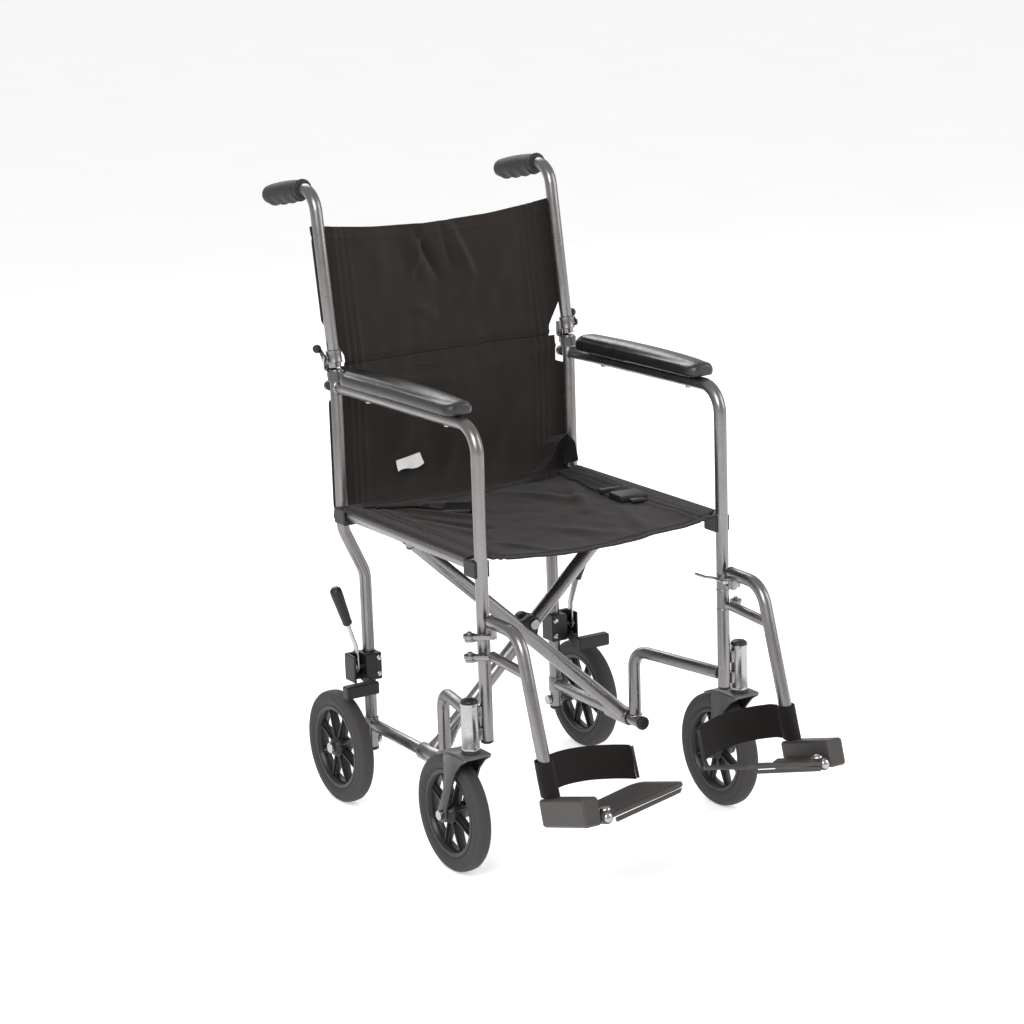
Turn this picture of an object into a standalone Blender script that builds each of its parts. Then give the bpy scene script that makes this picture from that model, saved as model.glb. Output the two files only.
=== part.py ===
"""Attendant-propelled folding wheelchair: four small wheels, folding cross-brace, fold-down back.

Metres, +Z up. The chair faces -Y and its right-hand side is at -X. The origin is on the floor, under
the middle of the chair. Each moving piece hangs from an empty on its joint's axis.
"""

from math import atan2, cos, degrees, pi, radians, sin

import bmesh
import bpy
from mathutils import Matrix, Vector

# ---------------------------------------------------------------- driving dimensions
FRONT_Y = -0.1638  # front posts, so that the chair is centred on the origin
POST_X = 0.2096  # front posts, canes and seat rails
LOWER_X = 0.171  # lower rails and lower rear posts, cranked inboard
CASTER_X = 0.2375
REAR_WHEEL_X = 0.2257
CANE_Y = FRONT_Y + 0.412
LOWER_POST_Y = FRONT_Y + 0.4185
REAR_AXLE_Y = FRONT_Y + 0.4215
TRAIL = 0.0544  # caster axle behind the swivel axis

GAP = 0.0003  # between pieces that touch
TUBE_R = 0.0095
TUBE_SIDES = 12
BEND_STEPS = 5

WHEEL_R = 0.0889
TYRE_W = 0.026
RIM_R = 0.0660
WHEEL_STEPS = 40

LOWER_RAIL_Z = 0.1135
LOWER_RAIL_FRONT = FRONT_Y + 0.169
STUB_Y = FRONT_Y + 0.1885  # upright of the tube that carries the caster post
STUB_TOP_Z = 0.2275
FRONT_POST_Z = 0.2083
ARM_FRONT_Z = 0.669
ARM_REAR_Z = 0.662
ARM_BEND_R = 0.040
HINGE_Y = CANE_Y + 0.0165  # the back folds about the rear face of the cane
HINGE_Z = 0.690
CRANK_TOP_Z = 0.440
CRANK_LOW_Z = 0.362
REAR_POST_Z = 0.078

RELEASE_PIN = (CANE_Y + 0.0030, HINGE_Z + 0.0165)
CANE_TOP_Z = 0.9605
CANE_LEAN = 0.161  # rearward run for each unit of rise
HANDLE_LENGTH = 0.146
HANDLE_DROP = 0.026
GRIP_LENGTH = 0.118

SEAT_RAIL_Z = 0.466
BRACE_R = 0.011
BRACE_A_Y = FRONT_Y + 0.2345
BRACE_B_Y = FRONT_Y + 0.2105
BRACE_PIVOT_Z = 0.2970  # the bolt sits above the tubes, in their lugs
SLEEVE_Y = (FRONT_Y + 0.1990, FRONT_Y + 0.2580)
SLEEVE_R = 0.0135

HOUSING_R = 0.0130
HOUSING_LOW_Z = 0.1996
HOUSING_TOP_Z = 0.2700

HANGER_PIN_X = 0.2330
LUG_Z = (0.3300, 0.3600)
LUG_THICK = 0.0045
LATCH_PIN = (POST_X - 0.0145, FRONT_Y - 0.0275)
TOE_UP = radians(16)
PLATE_TILT = radians(9)
PLATE_REACH = 0.137
LAP_BELT_END = {"r": (-0.075, CANE_Y - 0.110), "l": (0.166, CANE_Y - 0.225)}
PLATE_REAR, PLATE_FRONT = -0.022, 0.112

MATERIALS = {
    "steel_tube": ((0.47, 0.46, 0.46), 0.32, 0.9),
    "bright_steel": ((0.66, 0.66, 0.66), 0.25, 1.0),
    "fork_steel": ((0.16, 0.16, 0.165), 0.4, 0.6),
    "black_plastic": ((0.035, 0.035, 0.037), 0.5, 0.0),
    "grip_rubber": ((0.07, 0.068, 0.066), 0.75, 0.0),
    "tyre_rubber": ((0.16, 0.155, 0.16), 0.8, 0.0),
    "arm_vinyl": ((0.03, 0.028, 0.027), 0.35, 0.0),
    "nylon": ((0.045, 0.038, 0.034), 0.7, 0.0),
    "webbing": ((0.035, 0.03, 0.028), 0.8, 0.0),
}


# ---------------------------------------------------------------- scene helpers
def clear_scene():
    for found in list(bpy.data.objects):
        bpy.data.objects.remove(found)


def material(name):
    """The named finish, made on first use."""
    made = bpy.data.materials.get(name)
    if made is None:
        colour, roughness, metallic = MATERIALS[name]
        made = bpy.data.materials.new(name)
        made.use_nodes = True
        shader = made.node_tree.nodes["Principled BSDF"]
        shader.inputs["Base Color"].default_value = (*colour, 1.0)
        shader.inputs["Roughness"].default_value = roughness
        shader.inputs["Metallic"].default_value = metallic
    return made


def pivot(name, place, parent=None):
    """An empty on a joint's axis; the pieces that turn with the joint hang from it."""
    empty = bpy.data.objects.new(name, None)
    empty.empty_display_size = 0.03
    bpy.context.collection.objects.link(empty)
    empty["place"] = list(place)
    start = Vector(parent["place"]) if parent else Vector()
    empty.parent = parent
    empty.location = Vector(place) - start
    return empty


def add(name, shape, finish, parent=None):
    """One named solid from a bmesh in world coordinates, with its origin on its parent's pivot."""
    start = Vector(parent["place"]) if parent else Vector()
    bmesh.ops.recalc_face_normals(shape, faces=shape.faces)
    bmesh.ops.translate(shape, verts=shape.verts, vec=-start)
    mesh = bpy.data.meshes.new(name)
    shape.to_mesh(mesh)
    shape.free()
    mesh.shade_smooth()
    mesh.set_sharp_from_angle(angle=radians(40))
    mesh.materials.append(material(finish))
    made = bpy.data.objects.new(name, mesh)
    bpy.context.collection.objects.link(made)
    made.parent = parent
    return made


def helper(name, shape):
    """A hidden solid for a Boolean."""
    made = add(name, shape, "steel_tube")
    made.hide_render = True
    made.display_type = "WIRE"
    return made


def combine(target, operation, *shapes):
    """Joins the shapes to the target, or cuts them from it."""
    for index, shape in enumerate(shapes):
        tool = helper(f"{target.name}_{operation.lower()}_{index}", shape)
        modifier = target.modifiers.new(tool.name, "BOOLEAN")
        modifier.operation = operation
        modifier.solver = "EXACT"
        modifier.object = tool
    return target


# ---------------------------------------------------------------- shapes
def rounded_path(corners, radii, steps=BEND_STEPS):
    """A polyline whose inner corners are arcs of the given radii."""
    corners = [Vector(c) for c in corners]
    path = [corners[0]]
    for index in range(1, len(corners) - 1):
        before, here, after = corners[index - 1 : index + 2]
        back, ahead = (before - here).normalized(), (after - here).normalized()
        half = back.angle(ahead) / 2
        reach = radii[index - 1] / sin(half) * cos(half)
        centre = here + (back + ahead).normalized() * radii[index - 1] / sin(half)
        first, last = here + back * reach - centre, here + ahead * reach - centre
        swing = first.angle(last)
        for step in range(steps + 1):
            part = step / steps
            blend = first * sin((1 - part) * swing) + last * sin(part * swing)
            path.append(centre + blend / sin(swing))
    return path + [corners[-1]]


def sweep(path, radius, sides=TUBE_SIDES, flat=None, up=(0, 0, 1)):
    """A round bar along a path, or an oval one where flat gives its half-thickness."""
    shape = bmesh.new()
    path = [Vector(p) for p in path]
    count = len(path)
    tangents = []
    for index in range(count):
        ahead = path[min(index + 1, count - 1)] - path[min(index, count - 2)]
        behind = path[max(index, 1)] - path[max(index - 1, 0)]
        tangents.append((ahead.normalized() + behind.normalized()).normalized())
    side = tangents[0].cross(Vector(up))
    if side.length < 1e-3:
        side = tangents[0].cross(Vector((1, 0, 0)))
    side.normalize()
    rings = []
    for index, (point, tangent) in enumerate(zip(path, tangents)):
        side = (side - tangent * side.dot(tangent)).normalized()
        over = tangent.cross(side)
        squeeze = 1.0
        if 0 < index < count - 1:
            squeeze = 1 / max(0.5, (path[index + 1] - point).normalized().dot(tangent))
        ring = []
        for corner in range(sides):
            angle = 2 * pi * (corner + 0.5) / sides
            across = side * radius * cos(angle) * (squeeze if flat is None else 1.0)
            ring.append(shape.verts.new(point + across + over * (flat or radius) * sin(angle)))
        rings.append(ring)
    for first, second in zip(rings, rings[1:]):
        for corner in range(sides):
            after = (corner + 1) % sides
            shape.faces.new((first[corner], first[after], second[after], second[corner]))
    shape.faces.new(list(reversed(rings[0])))
    shape.faces.new(rings[-1])
    return shape


def cylinder(start, end, radius, sides=16, end_radius=None):
    """A round bar or a cone between two points."""
    start, end = Vector(start), Vector(end)
    shape = bmesh.new()
    turn = (end - start).to_track_quat("Z", "Y").to_matrix().to_4x4()
    bmesh.ops.create_cone(
        shape,
        cap_ends=True,
        segments=sides,
        radius1=radius,
        radius2=radius if end_radius is None else end_radius,
        depth=(end - start).length,
        matrix=Matrix.Translation((start + end) / 2) @ turn,
    )
    return shape


def box(low, high, bevel=0.0):
    """A block between two corners, with its edges taken off where bevel is given."""
    shape = bmesh.new()
    low, high = Vector(low), Vector(high)
    size = Matrix.Diagonal((*[abs(v) for v in high - low], 1))
    bmesh.ops.create_cube(shape, size=1.0, matrix=Matrix.Translation((low + high) / 2) @ size)
    if bevel:
        bmesh.ops.bevel(
            shape, geom=list(shape.edges), offset=bevel, segments=1, affect="EDGES", profile=0.5
        )
    return shape


def turned(profile, centre, steps=WHEEL_STEPS):
    """A solid turned about the X axis; the profile is (x, radius) pairs, to the middle of each flat."""
    shape = bmesh.new()
    rings = []
    for step in range(steps):
        angle = 2 * pi * (step + 0.5) / steps - pi / 2
        across, up = cos(angle) / cos(pi / steps), sin(angle) / cos(pi / steps)
        rings.append([shape.verts.new(Vector(centre) + Vector((x, r * across, r * up))) for x, r in profile])
    for first, second in zip(rings, rings[1:] + rings[:1]):
        for index in range(len(profile)):
            after = (index + 1) % len(profile)
            shape.faces.new((first[index], first[after], second[after], second[index]))
    return shape


def stepped_pin(x_radius, centre, sides=14):
    """A stepped pin along X: a list of (x, radius) pairs, each step square."""
    shape = bmesh.new()
    rings = []
    for index, (x, radius) in enumerate(x_radius):
        stations = [radius] if index in (0, len(x_radius) - 1) else [x_radius[index - 1][1], radius]
        for r in dict.fromkeys(stations):
            rings.append(
                [
                    shape.verts.new(
                        (x, centre[1] + r * cos(2 * pi * k / sides), centre[2] + r * sin(2 * pi * k / sides))
                    )
                    for k in range(sides)
                ]
            )
    for first, second in zip(rings, rings[1:]):
        for k in range(sides):
            after = (k + 1) % sides
            shape.faces.new((first[k], first[after], second[after], second[k]))
    shape.faces.new(rings[0])
    shape.faces.new(rings[-1])
    return shape


def slab(outline, axis, start, end):
    """A flat outline, given in the other two axes in XYZ order, extruded along an axis."""
    shape = bmesh.new()
    rings = []
    for level in (start, end):
        ring = []
        for a, b in outline:
            point = [a, b]
            point.insert("xyz".index(axis), level)
            ring.append(shape.verts.new(point))
        rings.append(ring)
    for index in range(len(outline)):
        after = (index + 1) % len(outline)
        shape.faces.new((rings[0][index], rings[0][after], rings[1][after], rings[1][index]))
    shape.faces.new(rings[0])
    shape.faces.new(rings[1])
    return shape


def ribbon(path, normals, thickness, width, across=(0, 0, 1)):
    """A strap: a path of its mid line, the way its face points at each point, and its width."""
    shape = bmesh.new()
    rings = []
    wide = Vector(across) * width / 2
    for point, normal in zip(path, normals):
        off = Vector(normal).normalized() * thickness / 2
        here = Vector(point)
        corners = ((off, wide), (off, -wide), (-off, -wide), (-off, wide))
        rings.append([shape.verts.new(here + a + b) for a, b in corners])
    for first, second in zip(rings, rings[1:]):
        for k in range(4):
            shape.faces.new((first[k], first[(k + 1) % 4], second[(k + 1) % 4], second[k]))
    shape.faces.new(rings[0])
    shape.faces.new(rings[-1])
    return shape


def arc(centre, radius, start, end, steps):
    """Points on an arc in a plane, with its angles in degrees."""
    return [
        (
            centre[0] + radius * cos(radians(start + (end - start) * k / steps)),
            centre[1] + radius * sin(radians(start + (end - start) * k / steps)),
        )
        for k in range(steps + 1)
    ]


# ---------------------------------------------------------------- side frame
def hanger_bar(side, z, thick):
    """The flat bar that joins a hinge eye to the front end of the footrest tube."""
    eye = Vector((side * HANGER_PIN_X, FRONT_Y))
    tube = Vector((side * POST_X, FRONT_Y - 0.0235))
    along = (tube - eye).normalized()
    over = Vector((-along.y, along.x)) * 0.0058
    outline = [eye + over, eye - over, tube - over, tube + over]
    return slab([tuple(p) for p in outline], "z", z, z + thick)


def front_frame(tag, side, parent):
    """One tube: arm and front post, with the two welded lugs and pins of the footrest hinge."""
    x = side * POST_X
    path = rounded_path(
        [
            (x, CANE_Y - TUBE_R - 0.0006, ARM_REAR_Z),
            (x, FRONT_Y, ARM_FRONT_Z),
            (x, FRONT_Y, FRONT_POST_Z),
        ],
        [ARM_BEND_R],
        7,
    )
    post = add(f"front_frame_{tag}", sweep(path, TUBE_R, up=(1, 0, 0)), "steel_tube", parent)
    for z in LUG_Z:
        lug_end = side * (HANGER_PIN_X + 0.008)
        low = (min(side * (POST_X + 0.004), lug_end), FRONT_Y - 0.007, z)
        high = (max(side * (POST_X + 0.004), lug_end), FRONT_Y + 0.007, z + LUG_THICK)
        pin = (side * HANGER_PIN_X, FRONT_Y)
        stub = cylinder((*pin, z + 0.001), (*pin, z + 0.0145), 0.0038, 10)
        combine(post, "UNION", box(low, high), stub)
    return post


def rear_post(tag, side, parent):
    """Lower back cane, cranked inboard under the seat, and on down to the rear axle."""
    path = rounded_path(
        [
            (side * POST_X, CANE_Y, HINGE_Z - 0.0012),
            (side * POST_X, CANE_Y, CRANK_TOP_Z),
            (side * LOWER_X, LOWER_POST_Y, CRANK_LOW_Z),
            (side * LOWER_X, LOWER_POST_Y, REAR_POST_Z),
        ],
        [0.045, 0.045],
    )
    post = add(f"rear_post_{tag}", sweep(path, TUBE_R, up=(0, 1, 0)), "steel_tube", parent)
    inner, outer = side * (LOWER_X - 0.02), side * (LOWER_X + 0.02)
    bore = cylinder((inner, REAR_AXLE_Y, WHEEL_R), (outer, REAR_AXLE_Y, WHEEL_R), 0.0053, 12)
    return combine(post, "DIFFERENCE", bore)


def lower_frame(tag, side, parent):
    """Lower rail with the tube welded near its front end that rises and carries the front post."""
    x = side * LOWER_X
    rail = sweep(
        [(x, LOWER_POST_Y - TUBE_R - GAP, LOWER_RAIL_Z + 0.002), (x, LOWER_RAIL_FRONT, LOWER_RAIL_Z)], TUBE_R
    )
    made = add(f"lower_frame_{tag}", rail, "steel_tube", parent)
    reach = Vector((POST_X - LOWER_X - 0.0015, STUB_Y - FRONT_Y)).normalized() * (TUBE_R + GAP * 2)
    path = rounded_path(
        [
            (side * (LOWER_X + 0.0015), STUB_Y, LOWER_RAIL_Z),
            (side * (LOWER_X + 0.0015), STUB_Y, STUB_TOP_Z),
            (side * (POST_X - reach.x), FRONT_Y + reach.y, STUB_TOP_Z),
        ],
        [0.028],
    )
    return combine(made, "UNION", sweep(path, TUBE_R, up=(1, 0, 0)))


def caster_housing(tag, side, parent):
    """Swivel bearing tube with the two tabs that are welded to the front post."""
    centre = (side * CASTER_X, FRONT_Y)
    tube = cylinder((*centre, HOUSING_LOW_Z), (*centre, HOUSING_TOP_Z), HOUSING_R, 20)
    made = add(f"caster_housing_{tag}", tube, "bright_steel", parent)
    inner = side * (POST_X + TUBE_R + GAP)
    outer = side * (CASTER_X - HOUSING_R + 0.003)
    tabs = [
        box((min(inner, outer), FRONT_Y - 0.006, z), (max(inner, outer), FRONT_Y + 0.006, z + 0.018))
        for z in (FRONT_POST_Z + 0.003, HOUSING_TOP_Z - 0.026)
    ]
    combine(made, "UNION", *tabs)
    return combine(made, "DIFFERENCE", cylinder((*centre, 0.19), (*centre, 0.28), 0.0086, 16))


def arm_pad(tag, side, parent):
    """Padded arm rest on the arm tube: a long rounded bar, domed on top."""
    x = side * POST_X
    rear, front = FRONT_Y + 0.366, FRONT_Y + 0.039
    half, thick = 0.0255, 0.027
    shape = bmesh.new()
    rings = []
    stations = [(0.0, 0.62), (0.03, 0.86), (0.09, 1.0), (0.91, 1.0), (0.97, 0.86), (1.0, 0.62)]
    for run, scale in stations:
        y = rear - run * (rear - front)
        base = ARM_FRONT_Z + (ARM_REAR_Z - ARM_FRONT_Z) * (y - FRONT_Y) / (CANE_Y - FRONT_Y) + TUBE_R + GAP
        base += 0.0008
        section = [(-half, 0.004), (-half, 0.012), (-half * 0.78, 0.022), (0, thick)]
        section += [(half * 0.78, 0.022), (half, 0.012), (half, 0.004), (half * 0.9, 0), (-half * 0.9, 0)]
        rings.append(
            [shape.verts.new((x + a * scale, y, base + b * (0.55 + 0.45 * scale))) for a, b in section]
        )
    for first, second in zip(rings, rings[1:]):
        for k in range(len(first)):
            after = (k + 1) % len(first)
            shape.faces.new((first[k], first[after], second[after], second[k]))
    shape.faces.new(rings[0])
    shape.faces.new(rings[-1])
    return add(f"arm_pad_{tag}", shape, "arm_vinyl", parent)


def seat_saddle(tag, side, end, post_y, parent):
    """Plastic clip on a post, with the open cradle that the seat rail's end drops into."""
    x = side * POST_X
    inward = 1 if end == "front" else -1
    half = 0.0128
    near, far = sorted((post_y - inward * 0.0030, post_y + inward * 0.0290))
    block = box((x - half, near, SEAT_RAIL_Z - 0.0160), (x + half, far, SEAT_RAIL_Z + 0.0090), 0.0015)
    made = add(f"seat_saddle_{end}_{tag}", block, "black_plastic", parent)
    post = cylinder((x, post_y, SEAT_RAIL_Z - 0.04), (x, post_y, SEAT_RAIL_Z + 0.04), TUBE_R + 2 * GAP, 16)
    width = TUBE_R + 0.0009
    start, stop = post_y + inward * (TUBE_R + 0.0030), post_y + inward * 0.05
    groove = cylinder((x, start, SEAT_RAIL_Z), (x, stop, SEAT_RAIL_Z), width, 16)
    low, high = sorted((start, stop))
    throat = box((x - width, low, SEAT_RAIL_Z), (x + width, high, SEAT_RAIL_Z + 0.02))
    return combine(made, "DIFFERENCE", post, groove, throat)


def back_hinge(tag, side, parent):
    """Clamp round the top of the lower cane with the hinge knuckle and its pin."""
    x = side * POST_X
    ring = cylinder((x, CANE_Y, HINGE_Z - 0.0175), (x, CANE_Y, HINGE_Z - 0.0040), 0.0125, 20)
    made = add(f"back_hinge_{tag}", ring, "fork_steel", parent)
    web = box((x - 0.0038, CANE_Y + 0.0105, HINGE_Z - 0.016), (x + 0.0038, HINGE_Y + 0.0045, HINGE_Z))
    knuckle = cylinder((x - 0.0038, HINGE_Y, HINGE_Z), (x + 0.0038, HINGE_Y, HINGE_Z), 0.0060, 14)
    pin = cylinder((x - 0.0100, HINGE_Y, HINGE_Z), (x + 0.0100, HINGE_Y, HINGE_Z), 0.0026, 10)
    combine(made, "UNION", web, knuckle, pin)
    cane = cylinder((x, CANE_Y, HINGE_Z - 0.05), (x, CANE_Y, HINGE_Z + 0.02), TUBE_R + 2 * GAP, 16)
    return combine(made, "DIFFERENCE", cane)


# ---------------------------------------------------------------- fold-down back
def cane_points(x):
    """The upper cane's path: up with a lean, then back into the push handle."""
    foot = Vector((x, CANE_Y, HINGE_Z + 0.0012))
    rise = CANE_TOP_Z - foot.z
    top = foot + Vector((0, CANE_LEAN * rise, rise))
    tip = top + Vector((0, HANDLE_LENGTH, -HANDLE_DROP))
    return foot, top, tip


def upper_cane(tag, side, parent):
    """Leaning cane bent back into the push handle, with the hinge collar and its two lugs."""
    x = side * POST_X
    foot, top, tip = cane_points(x)
    path = rounded_path([foot, top, tip], [0.036], 6)
    made = add(f"upper_cane_{tag}", sweep(path, TUBE_R, up=(1, 0, 0)), "steel_tube", parent)
    lean = Vector((0, CANE_LEAN, 1)).normalized()
    collar = cylinder(foot + lean * 0.0075, foot + lean * 0.026, 0.0122, 16)
    lugs = [
        slab(
            [
                (HINGE_Y - 0.0095, HINGE_Z + 0.020),
                (HINGE_Y - 0.0095, HINGE_Z + 0.0090),
                *arc((HINGE_Y, HINGE_Z), 0.0058, 210, 380, 6),
                (HINGE_Y + 0.0058, HINGE_Z + 0.018),
            ],
            "x",
            x + off,
            x + off + 0.0038,
        )
        for off in (-0.0084, 0.0046)
    ]
    y, z = RELEASE_PIN
    boss = cylinder((x + side * 0.0085, y, z), (x + side * 0.0182, y, z), 0.0025, 10)
    combine(made, "UNION", collar, *lugs, boss)
    bore = cylinder((x - 0.012, HINGE_Y, HINGE_Z), (x + 0.012, HINGE_Y, HINGE_Z), 0.0030, 10)
    return combine(made, "DIFFERENCE", bore)


def push_grip(tag, side, parent):
    """Ribbed hand grip on the end of the push handle, closed at its end."""
    _, top, tip = cane_points(side * POST_X)
    along = (tip - top).normalized()
    start = tip - along * (GRIP_LENGTH - 0.004)
    end = tip + along * 0.006
    body = cylinder(start, end, 0.0165, 16)
    made = add(f"push_grip_{tag}", body, "grip_rubber", parent)
    return combine(
        made, "DIFFERENCE", cylinder(start - along * 0.02, tip + along * 0.0006, TUBE_R + 2 * GAP, 14)
    )


def back_release(tag, side, parent):
    """Small lever with a ball knob, outboard of the hinge, that frees the back."""
    x = side * (POST_X + 0.0150)
    y, z = RELEASE_PIN
    low_x, high_x = sorted((x, x + side * 0.0025))
    outline = [*arc((y, z), 0.0055, 130, 300, 6), (y + 0.0165, z + 0.0100), (y + 0.0130, z + 0.0145)]
    made = add(f"back_release_{tag}", slab(outline, "x", low_x, high_x), "bright_steel", parent)
    knob = bmesh.new()
    place = Matrix.Translation((x + side * 0.0050, y + 0.0155, z + 0.0130))
    bmesh.ops.create_uvsphere(knob, u_segments=12, v_segments=8, radius=0.0068, matrix=place)
    combine(made, "UNION", knob)
    return combine(made, "DIFFERENCE", cylinder((x - 0.01, y, z), (x + 0.01, y, z), 0.0029, 10))


# ---------------------------------------------------------------- wheels and casters
def tyre(name, centre, parent):
    """Solid tyre with a rounded tread."""
    half = TYRE_W / 2
    profile = [
        (-half * 0.72, RIM_R + GAP),
        (half * 0.72, RIM_R + GAP),
        (half, RIM_R + 0.009),
        (half * 0.80, WHEEL_R - 0.0035),
        (half * 0.35, WHEEL_R),
        (-half * 0.35, WHEEL_R),
        (-half * 0.80, WHEEL_R - 0.0035),
        (-half, RIM_R + 0.009),
    ]
    return add(name, turned(profile, centre), "tyre_rubber", parent)


def rim(name, centre, hub_half, bore_r, parent):
    """Moulded wheel: rim ring, eight spokes and a hub with its bore."""
    ring = turned([(-0.0085, 0.0575), (0.0085, 0.0575), (0.0085, RIM_R), (-0.0085, RIM_R)], centre)
    made = add(name, ring, "black_plastic", parent)
    x, y, z = centre
    spokes = []
    for index in range(4):
        along = Vector((0, cos(pi * index / 4 + pi / 8), sin(pi * index / 4 + pi / 8)))
        reach = along * 0.061
        spokes.append(sweep([Vector(centre) - reach, Vector(centre) + reach], 0.0052, 4, up=(1, 0, 0)))
    hub = cylinder((x - hub_half, y, z), (x + hub_half, y, z), 0.0165, 20)
    combine(made, "UNION", *spokes, hub)
    return combine(made, "DIFFERENCE", cylinder((x - 0.03, y, z), (x + 0.03, y, z), bore_r, 14))


def caster_fork(tag, side, parent):
    """Fork with its crown, two legs raked back to the axle, and the swivel stem."""
    x, axle_y = side * CASTER_X, FRONT_Y + TRAIL
    profile = [
        (FRONT_Y - 0.018, 0.1885),
        (FRONT_Y - 0.018, 0.1945),
        (FRONT_Y + 0.020, 0.1945),
        (FRONT_Y + 0.066, 0.1860),
        (FRONT_Y + 0.066, 0.1800),
    ]
    crown = slab(profile, "x", x - 0.0222, x + 0.0222)
    made = add(f"caster_fork_{tag}", crown, "fork_steel", parent)
    legs = []
    for off in (-0.0222, 0.0182):
        outline = [
            (FRONT_Y + 0.006, 0.190),
            (FRONT_Y + 0.062, 0.184),
            *arc((axle_y, WHEEL_R), 0.0115, 20, -200, 8),
        ]
        legs.append(slab(outline, "x", x + off, x + off + 0.004))
    stem = cylinder((x, FRONT_Y, 0.190), (x, FRONT_Y, HOUSING_TOP_Z - 0.006), 0.0080, 14)
    combine(made, "UNION", *legs, stem)
    bore = cylinder((x - 0.03, axle_y, WHEEL_R), (x + 0.03, axle_y, WHEEL_R), 0.0045, 12)
    return combine(made, "DIFFERENCE", bore)


def front_axle(tag, side, parent):
    """Axle bolt with its nut, through both fork legs."""
    x = side * CASTER_X
    steps = [(x - 0.0275, 0.0075), (x - 0.0226, 0.0040), (x + 0.0226, 0.0075), (x + 0.0275, 0.0075)]
    return add(
        f"front_axle_{tag}", stepped_pin(steps, (x, FRONT_Y + TRAIL, WHEEL_R)), "bright_steel", parent
    )


def rear_axle(tag, side, parent):
    """Axle bolt through the rear post, with its spacer collar and nut."""
    marks = [
        (LOWER_X - 0.0150, 0.0080),
        (LOWER_X - 0.0100, 0.0048),
        (LOWER_X + 0.0100, 0.0090),
        (REAR_WHEEL_X - 0.0155, 0.0048),
        (REAR_WHEEL_X + 0.0155, 0.0085),
        (REAR_WHEEL_X + 0.0205, 0.0085),
    ]
    steps = [(side * x, r) for x, r in marks]
    return add(
        f"rear_axle_{tag}", stepped_pin(steps, (0, REAR_AXLE_Y, WHEEL_R)), "bright_steel", parent
    )


# ---------------------------------------------------------------- wheel locks
BRAKE_PIN = (FRONT_Y + 0.4095, 0.2150)
SHOE_PIN = (FRONT_Y + 0.4080, 0.1985)
BRACKET_Z = (0.1910, 0.2345)
SLOT_X = (0.1855, 0.2035)


def sided_box(side, x_range, y_range, z_range, bevel=0.0):
    """A block on one side of the chair, from distances out from the middle."""
    low, high = sorted((side * x_range[0], side * x_range[1]))
    return box((low, y_range[0], z_range[0]), (high, y_range[1], z_range[1]), bevel)


def brake_bracket(tag, side, parent):
    """Clamp on the rear post, slotted for the lever and the shoe's arm, with their two pins."""
    depth = (LOWER_POST_Y - 0.0180, LOWER_POST_Y + 0.0145)
    block = sided_box(side, (0.1575, 0.2070), depth, BRACKET_Z, 0.0015)
    made = add(f"brake_bracket_{tag}", block, "black_plastic", parent)
    slot = sided_box(side, SLOT_X, (depth[0] - 0.01, LOWER_POST_Y + 0.0060), (0.18, 0.25))
    centre = (side * LOWER_X, LOWER_POST_Y)
    post = cylinder((*centre, 0.18), (*centre, 0.25), TUBE_R + 2 * GAP, 16)
    combine(made, "DIFFERENCE", slot, post)
    pins = [
        cylinder((side * (SLOT_X[0] - 0.002), *place), (side * (SLOT_X[1] + 0.002), *place), 0.003, 10)
        for place in (BRAKE_PIN, SHOE_PIN)
    ]
    return combine(made, "UNION", *pins)


def brake_lever(tag, side, parent):
    """Flat steel lever that leans outboard, with its tapered hand grip."""
    y, z = BRAKE_PIN
    inner = 0.1965
    shape = bmesh.new()
    rings = []
    for off, height in ((0.0, z - 0.0075), (0.0, z + 0.034), (0.0155, z + 0.080)):
        corners = ((0, -0.0060), (0.003, -0.0060), (0.003, 0.0060), (0, 0.0060))
        rings.append([shape.verts.new((side * (inner + off + a), y + b, height)) for a, b in corners])
    for first, second in zip(rings, rings[1:]):
        for k in range(4):
            shape.faces.new((first[k], first[(k + 1) % 4], second[(k + 1) % 4], second[k]))
    shape.faces.new(rings[0])
    shape.faces.new(rings[-1])
    made = add(f"brake_lever_{tag}", shape, "bright_steel", parent)
    grip_foot = (side * (inner + 0.0140), y - 0.001, z + 0.074)
    grip_top = (side * (inner + 0.0370), y - 0.006, z + 0.136)
    grip = cylinder(grip_foot, grip_top, 0.0076, 12, 0.0090)
    combine(made, "UNION", grip)
    eye = cylinder((side * (inner - 0.01), y, z), (side * (inner + 0.01), y, z), 0.0034, 10)
    return combine(made, "DIFFERENCE", eye)


def brake_shoe(tag, side, parent):
    """Shoe bar ahead of the tyre's crown, on an arm from the bracket's lower pin."""
    y, z = SHOE_PIN
    arm_x = sorted((side * 0.1880, side * 0.1912))
    outline = [
        *arc((y, z), 0.0060, 90, -90, 6),
        (y - 0.034, z - 0.0150),
        (y - 0.044, z - 0.0080),
        (y - 0.044, z + 0.0010),
    ]
    made = add(f"brake_shoe_{tag}", slab(outline, "x", *arm_x), "black_plastic", parent)
    bar = sided_box(side, (0.1845, 0.2420), (y - 0.046, y - 0.030), (z - 0.0175, z + 0.0025), 0.002)
    combine(made, "UNION", bar)
    return combine(made, "DIFFERENCE", cylinder((side * 0.18, y, z), (side * 0.20, y, z), 0.0034, 10))


# ---------------------------------------------------------------- footrests
def footrest_frame(side):
    """The block's corner on the hanger's line, and its forward and upward directions."""
    end = Vector((side * POST_X, FRONT_Y - 0.1745, 0.1500))
    return end, Vector((0, -cos(TOE_UP), sin(TOE_UP))), Vector((0, sin(TOE_UP), cos(TOE_UP)))


def oriented(shape, side):
    """Turns a shape built on (inboard, forward, up) axes into the footrest's own frame."""
    end, forward, up = footrest_frame(side)
    inboard = Vector((-side, 0, 0))
    turn = Matrix((inboard, forward, up)).transposed().to_4x4()
    bmesh.ops.transform(shape, matrix=Matrix.Translation(end) @ turn, verts=shape.verts)
    return shape


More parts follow.
